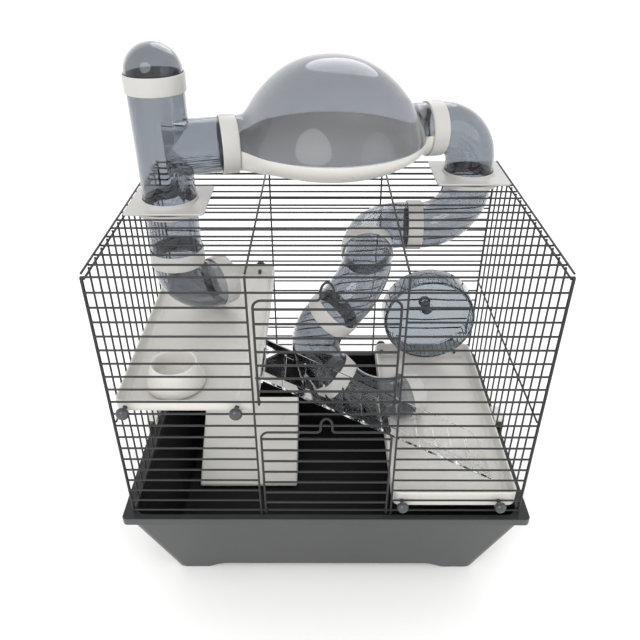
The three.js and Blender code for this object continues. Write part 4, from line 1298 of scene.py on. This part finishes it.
def buildDomeCap():
    low, high = boxes["dome_cap"]
    outer, wall = tubes["radius"], tubes["wall"]
    rise = (high.z - low.z) / mm
    neck = tubes["collarLength"] / 2
    # up the outer skin to the tip, then down the inner one; each skin is closed at its own tip
    skins = [(outer, rise), (outer - wall, rise - wall)]
    outside, inside = ([(r * math.cos(k / 36 * math.pi), neck + (tall - neck) * math.sin(k / 36 * math.pi))
                        for k in range(18)] + [(axisGap, tall)] for r, tall in skins)
    profile = [(outer - 0.3, 0.0), (outer, 0.4)] + outside + inside[::-1] + [(outer - wall, 0.0)]
    sides = tubes["sides"]
    centre = Vector(((low.x + high.x) / 2, (low.y + high.y) / 2, low.z))
    points, faces = [], []
    for r, z in profile:
        for i in range(sides):
            angle = 2 * math.pi * i / sides
            points.append(centre + Vector((r * math.cos(angle), r * math.sin(angle), z)) * mm)
    rows = len(profile)
    tip = len(outside) + 1
    for r in range(rows):
        after = (r + 1) % rows
        if r == tip:
            faces.append(tuple(r * sides + i for i in range(sides)))
            faces.append(tuple(after * sides + i for i in range(sides)))
            continue
        for i in range(sides):
            j = (i + 1) % sides
            faces.append((r * sides + i, r * sides + j, after * sides + j, after * sides + i))
    obj = meshObject("clear_dome_cap", points, faces)
    finishPiece(obj, "dome_cap", "smokePlastic", ["dome_cap"], 40.0)


buildRoute()
buildDrop()
buildTee()
buildDomeCap()
elbowStart = onBridge(bridgeLength - tubes["rightLeg"])
collarPiece("elbow_collar", at(*elbowStart), bridgeDirection)
bentPiece("outer_elbow", elbowStart, bridgeEnd, (rightPort[0], rightPort[1], plateMiddle))
print("tubes built")

# ---- capsule ----
capsule = {"radius": 105.0, "depth": 38.0, "dome": 84.0, "crown": 0.8, "bulge": 2.3, "wall": 2.2,
           "neck": 29.0, "blend": 9.0, "endBlend": 40.0, "stations": 72, "aroundHalf": 40}


def softMax(a, b, width):
    # the larger of two sizes, with a fillet where they cross
    h = max(width - abs(a - b), 0.0) / width
    return max(a, b) + h * h * width * 0.25


def capsuleSection(u):
    # half width, rise above the seam and drop below it, at a place along the bridge from the middle
    share = min(abs(u) / capsule["radius"], 1.0)
    round_ = capsule["radius"] * math.sqrt(1 - share * share)
    rise = capsule["dome"] * (1 - share ** capsule["bulge"]) ** capsule["crown"]
    drop = capsule["depth"] * math.sqrt(1 - share * share)
    neck, blend = capsule["neck"], capsule["blend"]
    return softMax(round_, neck, blend * 2.4), softMax(rise, neck, blend), softMax(drop, neck, blend * 0.6)


def capsuleLoop(u, upper):
    width, rise, drop = capsuleSection(u)
    share = max(0.0, min(1.0, (capsule["radius"] - abs(u)) / capsule["endBlend"]))
    bulge = 2 + (capsule["bulge"] - 2) * share
    crown = 0.5 + (capsule["crown"] - 0.5) * share
    across = Vector((-bridgeDirection.y, bridgeDirection.x, 0.0))
    middle = at(*onBridge(tubes["podPlace"] + u))
    count = capsule["aroundHalf"]
    loop = []
    for wall, order in ((0.0, range(count + 1)), (capsule["wall"], range(count, -1, -1))):
        for k in order:
            t = math.cos(math.pi * k / count)
            w = width - wall
            if upper:
                z = (rise - wall) * max(0.0, 1 - abs(t) ** bulge) ** crown + tubes["gap"]
            else:
                z = -(drop - wall) * math.sqrt(max(0.0, 1 - t * t))
            loop.append(middle + across * w * t * mm + Vector((0, 0, z * mm)))
    return loop


def capsulePlaces(start, end):
    count = capsule["stations"]
    return [start + (end - start) * (0.5 - 0.5 * math.cos(math.pi * i / count)) for i in range(count + 1)]


def buildCapsule():
    left = -(tubes["podPlace"] - tubes["branchLength"])
    right = bridgeLength - tubes["rightLeg"] - tubes["podPlace"]
    cover = tubes["collarLength"] / 2 + 0.6
    places = capsulePlaces(left + cover, right - cover)
    dome = ringsToObject("clear_capsule_dome", [capsuleLoop(u, True) for u in places])
    finishPiece(dome, "pod_lid", "domePlastic", ["pod_dome"], 50.0)
    base = ringsToObject("capsule_bowl", [capsuleLoop(u, False) for u in places])
    finishPiece(base, "cage", "whitePlastic", ["pod_bowl"], 50.0)
    neck, bore = capsule["neck"], capsule["neck"] - capsule["wall"]
    length = cover - 2 * tubes["gap"]
    profile = [(bore, 0.0), (neck, 0.0), (neck, length), (bore, length)]
    for label, place in (("left", left + tubes["gap"]), ("right", right - cover + tubes["gap"])):
        start = onBridge(tubes["podPlace"] + place)
        ring = turnedObject("capsule_neck_" + label, profile, at(*start), bridgeDirection, 64)
        finishPiece(ring, "cage", "whitePlastic", ["pod_bowl"], 40.0)


buildCapsule()
print("capsule built")
